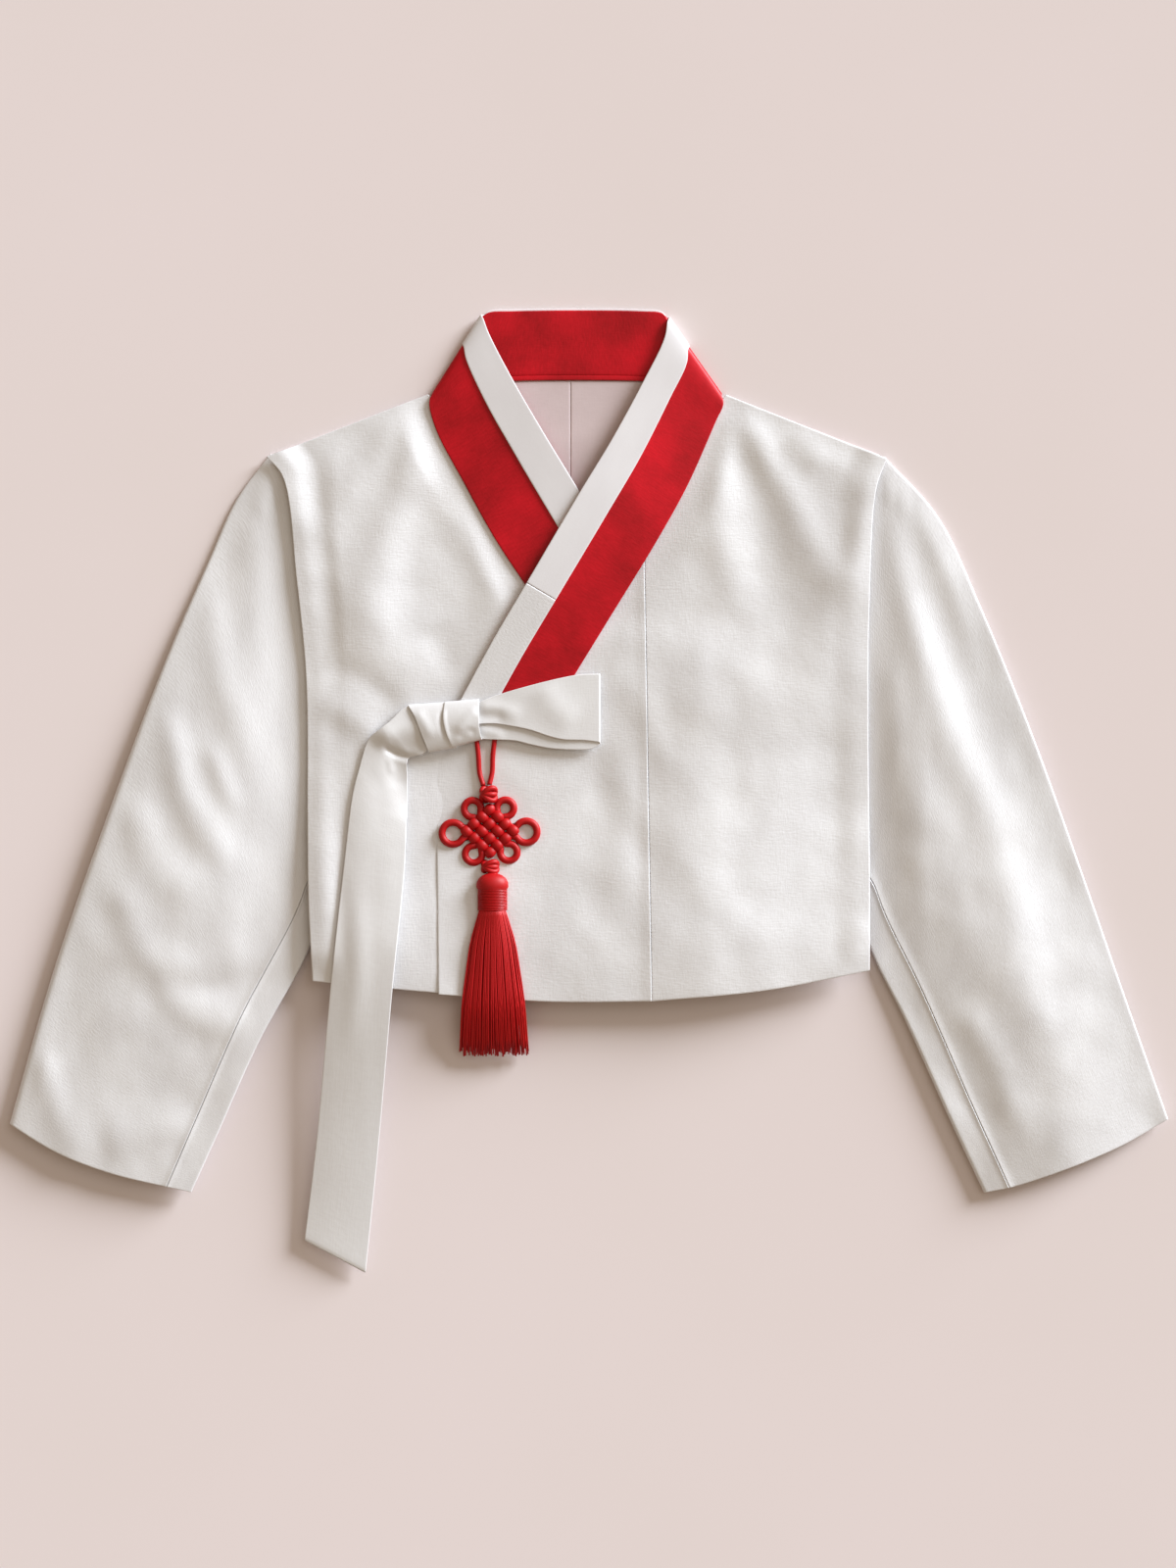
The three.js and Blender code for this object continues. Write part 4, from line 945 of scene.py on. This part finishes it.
# %% Ribbon tail
TAIL_LEFT = [(-136, 66), (-147.3, 68), (-162.1, 55.2), (-170.2, 49.1), (-178.4, 41.9), (-187, 16),
             (-192, -5), (-198.4, -59.2), (-209, -159), (-220.8, -282.2), (-231.4, -367.8)]
TAIL_RIGHT = [(-126, 38), (-134, 29.5), (-141, 27.6), (-146.6, 25), (-147.2, 10), (-147, -12),
              (-147.8, -27.4), (-149.2, -66), (-158.6, -162.4), (-170.5, -290), (-181.4, -394.4)]
TAIL_FOLDS = [
    ([(-124, 52), (-148, 50), (-166, 44), (-176, 34)], 3.4, 15, 8),
    ([(-150, 44), (-164, 38), (-168.7, 22), (-164, 4), (-157, -8), (-144, -13)], 0.6, 7, 8),
    ([(-150, 24), (-154, 12), (-154, 0)], -0.4, 7, 7),
    ([(-168, 36), (-156, 29), (-147, 26.5), (-134, 27)], -2, 3, 3.4),
    ([(-162, 26), (-161, 19), (-159, 12)], 0.4, 3, 3),
    ([(-190, -60), (-186, -140), (-196, -220)], 0.8, 9, 9),
]
BOW_LIFT = 11  # height of the bow's underside
TAIL_CLEAR = 2.0  # gap between the tail and the front below it
TAIL_END = 7.0  # height of the cut end above the table
TAIL_RISE = 4.0  # how far the ribbon climbs to where it leaves the knot
TAIL_BULGE = 0.6  # how far its middle stands above its edges
TAIL_LEAN = 7.5  # how far the tail's right edge stands above its left one


def tail_place(u, v):
    """The tail's middle layer: on the front, over the hem and down to the table."""
    left, right = (through(side, 24) for side in (TAIL_LEFT, TAIL_RIGHT))
    walk = np.linspace(0, 1, len(left))
    spots = mix(at_run(left, walk, v), at_run(right, walk, v), u[:, None])
    x, y = spots.T
    on_front = inner_front(x, np.maximum(y, HEM_Y)) + SILK + TAIL_CLEAR
    resting = mix(TAIL_END, on_front, smooth(-400, -160, y))
    share = 1 - smooth(1, 5, v * (len(TAIL_LEFT) - 1))
    height = mix(resting, BOW_LIFT - RIBBON - SEAM_GAP - TAIL_CLEAR, share) + RIBBON / 2
    height += TAIL_RISE * smooth(0.5, 0.22, v)
    height += TAIL_LEAN * u * smooth(0.4, 0.85, v) * (0.1 + 0.9 * smooth(-290, -130, y))
    height += TAIL_BULGE * (1 - (2 * u - 1) ** 2) * smooth(0.35, 0.5, v)
    height += folds(TAIL_FOLDS, x, y) * smooth(0, 0.06, v) + 0.25 * drift(x, y, 60, 9) * (y > -160)
    return np.column_stack([spots, height])


tail_rows = np.concatenate([np.linspace(0, 0.5, 80), np.linspace(0.5, 1, 60)[1:]])
tail = cloth("tail", ticks(28, 50), tail_rows, tail_place, RIBBON, ribbon_satin,
             grain_of(50, 480))

# %% Bow ear and knot
EAR_TOP = [(-93, 69.4), (-73, 77.6), (-10, 93.6), (10, 94.6)]
EAR_LIP = [(-93, 53.3), (-76.9, 54.1), (-64.6, 52.4), (-47.7, 49), (-30.9, 43.4), (-19.7, 40.9),
           (-2.9, 40.3), (10, 38.6)]
EAR_BACK = [(-93, 41.4), (-75.3, 40.9), (-58.8, 40), (-47.7, 37.2), (-30.9, 33.9),
            (-14.1, 32.7), (2.8, 33.3), (10, 37)]
EAR_FOLDS = [
    ([(-92, 68), (-72, 66), (-52, 58)], 0.8, 5, 7),
    ([(-92, 60), (-78, 60), (-66, 60)], -0.7, 5, 5),
    ([(-40, 88), (-30, 70), (-8, 50)], 1.0, 12, 12),
]
POCKET_FOLDS = [([(-92, 50), (-80, 47), (-66, 43)], 0.7, 3.5, 5)]
EAR_RADIUS = 0.6  # of its turn at the free end
EAR_PINCH = 2.0  # how far its upper layer stands off the lower one at the knot
EAR_PUFF = 1.2  # how much more it does between the two ends
EAR_WAY = ([0, 0.45, 0.55, 1], [0, 1, 2, 3])  # out below, the turn, back above


def ear_place(u, v):
    """The ear's middle layer: out below, round the end and back above."""
    top, lip, back = (edge(line) for line in (EAR_TOP, EAR_LIP, EAR_BACK))
    floor = BOW_LIFT + RIBBON / 2
    length = np.linalg.norm(top(1.0) - top(0.0))
    reach = 1 - (EAR_RADIUS + RIBBON / 2) / length
    way = np.interp(u, *EAR_WAY)
    turning = (way >= 1) & (way < 2)
    t = np.select([way < 1, turning], [way, way - 1], 3 - way)
    out = np.where(turning, 1, t) * reach
    lower = np.select([(way < 1)[:, None], turning[:, None]],
                      [back(out), mix(back(out), lip(out), t[:, None])], lip(out))
    spots = mix(top(out), lower, v[:, None])
    x, y = spots.T
    rise = mix(EAR_PINCH, 2 * EAR_RADIUS, smooth(0, 0.25, t))
    rise += EAR_PUFF * np.sin(math.pi * t) * (0.35 + 0.65 * v) + folds(EAR_FOLDS, x, y)
    below = folds(POCKET_FOLDS, x, y)
    height = np.select([way < 1, turning], [below, EAR_RADIUS * (1 - np.cos(math.pi * t))], rise)
    reach_out = np.where(turning, EAR_RADIUS * np.sin(math.pi * t), 0)
    return np.column_stack([spots[:, 0] + reach_out, spots[:, 1], floor + height])


ear = cloth("ear", np.linspace(0, 1, 111), ticks(28, 55), ear_place, RIBBON, ribbon_satin,
            grain_of(200, 55))

WRAP_LEFT = [(-147.4, 69.5), (-141.5, 60.2), (-137, 49), (-133, 38.9), (-129.5, 30)]
WRAP_MIDDLE = [(-116.8, 72), (-118, 58), (-115.7, 46.8), (-110.4, 34)]
WRAP_RIGHT = [(-88.6, 74.2), (-88.5, 60), (-88.2, 50), (-86.4, 40.8)]
WRAP_HEIGHT = 6.0  # of the knot's crown
WRAP_DIP = 0.4  # how far the edges of a turn lie below its middle
WRAP_WAY = ([0, 0.16, 0.84, 1], [-0.32, 0, 1, 1.32])  # past 0 and 1 the turn goes under


def wrap(name, left, right, lift, creases):
    """One turn of ribbon round the knot: over the top, and turned under at both edges."""
    left, right = edge(left), edge(right)

    def place(u, v):
        around = np.interp(v, *WRAP_WAY)
        inside = np.clip(around, 0, 1)
        under = np.abs(around - inside)
        inward = mix(inside, 0.5, under)
        spots = mix(left(inward), right(inward), u[:, None])
        crown = WRAP_HEIGHT * np.maximum(np.sin(math.pi * inside), 0) ** 0.55
        dip = WRAP_DIP * (2 * u - 1) ** 2
        top = crown - dip * (inside * (1 - inside) * 4) + folds(creases, *spots.T)
        rise = np.where(under > 0, 0.8 - under, 0.9 + lift + top)
        return np.column_stack([spots, BOW_LIFT + np.maximum(rise, 0.5)])

    return cloth(name, ticks(24, 30), np.linspace(0, 1, 49), place, RIBBON * 0.8, ribbon_satin,
                 grain_of(32, 70))


knot_left = wrap("knot_left", WRAP_LEFT, [(x + 4, y) for x, y in WRAP_MIDDLE], 0, [
    ([(-140, 66), (-132, 52), (-126, 40)], 0.7, 4, 5),
    ([(-119, 66), (-120, 54), (-116, 40)], -0.5, 2, 2)])
knot_right = wrap("knot_right", WRAP_MIDDLE, WRAP_RIGHT, 1.0, [
    ([(-116.5, 68), (-117, 58), (-114, 44), (-110, 36)], 0.6, 1.6, 1.6),
    ([(-88, 66), (-98, 58), (-108, 44)], 0.9, 4, 5),
    ([(-90, 46), (-98, 48), (-106, 40)], -0.5, 3, 3)])

# %% [markdown]
# ## The pendant
# The norigae is one long braided cord, tied into a button knot, a woven diamond with six loops
# round it, and a second button knot above the tassel.

# %% Woven knot
MIDDLE = np.array([-80, -33.4, 10.9])  # of the woven diamond
HALF_WIDTH, HALF_LENGTH = 25.8, 23.6  # from its middle to its corners
LANES = 4  # cords side by side each way
LANE_CORD, SWELL, FLAT = 3.7, 0.7, 0.72  # radius in the weave, more on top, and how flat it lies
OVER, TUCK = 2.2, 1.2  # rise of a cord over another one, and its dip at the rim
LOOP_CORD = 2.9  # radius of the cord in a loop
# Each loop: the place of its middle beside the diamond's middle, and its radius.
LOOPS = [(-30.1, -2, 8.9), (29.6, -0.8, 8.9), (-14.1, 18, 6.9), (12.6, 18.4, 6.9),
         (-13.2, -19, 6.9), (15.4, -17.4, 6.9)]


def weave_point(p, q, lift):
    """A place in the diamond: p and q run along its two sides."""
    return MIDDLE + np.column_stack([(p - q) * HALF_WIDTH, (p + q - 1) * HALF_LENGTH, lift])


bm = bmesh.new()
walk = np.linspace(0, 1, 65)
inside = smooth(0, 0.06, walk) * smooth(0, 0.06, 1 - walk)
for k in range(LANES):
    lane = np.full(len(walk), (k + 0.5) / LANES)
    along_it = mix(0.015, 0.985, walk)
    for turn, (p, q) in enumerate(((along_it, lane), (lane, along_it))):
        over = np.cos(math.pi * (LANES * walk - 0.5 + k + turn))
        line = weave_point(p, q, OVER * over * inside - TUCK * (1 - inside))
        rolled(bm, line, (LANE_CORD + SWELL * over) * mix(0.35, 1, inside), 16, FLAT, k * 0.1)
for dx, dy, radius in LOOPS:
    turns = math.atan2(-dy, -dx) + np.linspace(0.5, 2 * math.pi - 0.5, 45)
    ring = np.column_stack([dx + radius * np.cos(turns), dy + radius * np.sin(turns), 0 * turns])
    line = MIDDLE + ring
    start, end = line[[0, -1]] + (MIDDLE - (0, 0, 1) - line[[0, -1]]) * 0.3
    rolled(bm, [start, *line, end], LOOP_CORD, 14)
woven = finished(capped(bm), "woven_knot", red_cord)


# %% Button knots
BUTTON_CORD = 2.3  # radius of the cord in a button knot
ROUND = np.linspace(0, 2 * math.pi, 41)


def button(name, x, y, z, across, along, deep):
    """A small round knot: three turns of cord wound over each other, each tilted its own way."""
    bm = bmesh.new()
    half = np.array([across, along, deep]) - 2
    for tilt, size in ((0.75, 1.0), (-0.75, 0.98), (0.0, 0.94)):
        lean = math.sin(tilt)
        ring = np.column_stack([np.cos(ROUND), 1.1 * lean * np.sin(ROUND), np.sin(ROUND)])
        spot = ring * half * size
        spot[:, 1] += 0.75 * lean * half[1] * np.cos(ROUND)
        rolled(bm, spot + (x, y, z), BUTTON_CORD, 12)
    return finished(bm, name, red_cord)


button_top = button("button_top", -81, -3.6, 12.6, 7.4, 7.6, 6)
button_bottom = button("button_bottom", -79.6, -62.6, 12.6, 7.4, 6.4, 6)

# %% Tassel threads
TASSEL_X = -77.8
THREAD = 0.62  # radius of one thread
LAYERS, ABREAST = 5, 44  # threads above each other and side by side
TOP_FLARE = 0.8  # share of the rise over the hem that the upper threads take
# Down the skirt: y, half its width, the heights of its lowest and of its highest threads.
SKIRT = [(-94, 9.6, 10.6, 21), (-124, 18.4, 9, 18.6), (-174, 26, 8.8, 16), (-213, 29.4, 2.6, 9.8)]
skirt_y, *skirt_shape = np.array(SKIRT).T
rng = np.random.default_rng(11)


def tassel_bed(y):
    """Height that the threads lie at: on the overlap, then over its hem and down."""
    on_cloth = outer_front(TASSEL_X + 0 * y, np.maximum(y, HEM_Y)) + SILK + THREAD
    return mix(THREAD, on_cloth, smooth(-232, -170, y))


bm = bmesh.new()
down = np.linspace(0, 1, 15)
for layer in range(LAYERS):
    for k in range(ABREAST):
        height = layer / (LAYERS - 1)
        across = (k + 0.5 + rng.uniform(-0.35, 0.35)) / ABREAST * 2 - 1
        y = mix(skirt_y[0], skirt_y[-1] - 6 * rng.uniform(-0.9, 0.8), down)
        half, low, high = (np.interp(-y, -skirt_y, shape) for shape in skirt_shape)
        half *= math.sqrt(1 - (0.5 * (2 * height - 1)) ** 2)
        lift = np.maximum(tassel_bed(y) - low, 0)
        low, high = low + lift, high + lift * TOP_FLARE
        wander = rng.normal(0, 0.35) * np.sin(math.pi * down * rng.uniform(0.6, 1.6))
        x = TASSEL_X + 1.1 * down + across * half + wander
        z = mix(low, high, mix(0.05, 0.95, height)) - (high - low) * 0.3 * across**2 * height
        rolled(bm, np.column_stack([x, y, z]), THREAD, 5, 1.0, rng.uniform(0, 1))
threads = finished(capped(bm), "tassel_threads", red_thread)

# %% Tassel head
TASSEL_Z, FLATTEN = 15.9, 0.69  # middle of the head, and its depth over its width
# The head's outline: y and radius.
HEAD = [(-67.6, 3.4), (-69.4, 8), (-72, 11.2), (-75.2, 12.8), (-78.6, 13.1), (-80.4, 12.4)]
BAND_START, BAND_STEP, BAND_TURNS = -80.6, 1.2, 15
BAND_RADIUS, BAND_THREAD = 11.6, 0.7

bm = bmesh.new()
head_y, head_radius = np.array(HEAD).T
spine = np.column_stack([np.full(len(HEAD), TASSEL_X), head_y, np.full(len(HEAD), TASSEL_Z)])
rolled(bm, spine, head_radius, 40, FLATTEN)
finished(bm, "tassel_head", head_thread)

bm = bmesh.new()
for k in range(BAND_TURNS):
    y = BAND_START - k * BAND_STEP + 0 * ROUND
    x, z = TASSEL_X + BAND_RADIUS * np.cos(ROUND), TASSEL_Z + BAND_RADIUS * FLATTEN * np.sin(ROUND)
    rolled(bm, np.column_stack([x, y, z]), BAND_THREAD, 6)
finished(bm, "tassel_band", wrapped_thread)

# %% [markdown]
# ## What each piece stands for
# Each cloth, cord and knot replaces the plain solid of the same name, which is hidden. The table also
# lists how large each cloth was cut, in metres, and what it lies on, but nothing here reads those
# columns.

# %% Declarations
# Each cloth: the solid it replaces, its flat size, how it is held, what it lies on, and its flat
# area where the cut isn't a rectangle.
CLOTHS = [
    (back_right, "back_right_panel", (0.25, 0.51), "laid", [], 0.115),
    (back_left, "back_left_panel", (0.25, 0.51), "laid", [], 0.115),
    (front_right, "front_right_panel", (0.34, 0.50), "laid", [back_right], 0.115),
    (front_left, "front_left_panel", (0.20, 0.50), "laid", [back_left], 0.085),
    (seop, "outer_seop", (0.18, 0.37), "laid", [front_right], 0.05),
    (sleeve_right, "sleeve_right", (0.68, 0.59), "laid", [], 0.175),
    (sleeve_left, "sleeve_left", (0.68, 0.59), "laid", [], 0.175),
    (git, "git", (0.075, 0.86), "folded", [front_right, front_left], None),
    (dongjeong, "dongjeong", (0.028, 0.73), "folded", [git], None),
    (end_band, "git_end_band", (0.028, 0.13), "laid", [git], None),
    (tail, "goreum_tail", (0.052, 0.50), "laid", [front_right], None),
    (ear, "goreum_ear", (0.055, 0.20), "folded", [seop], None),
    (knot_left, "goreum_knot", (0.034, 0.055), "gathered", [seop], None),
    (knot_right, "goreum_knot", (0.034, 0.055), "gathered", [seop], None),
]
for piece, node, flat, held, rests_on, area in CLOTHS:
    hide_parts(node)

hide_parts("norigae_button_top")
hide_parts("norigae_knot")
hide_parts("norigae_button_bottom")
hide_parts("norigae_tassel")
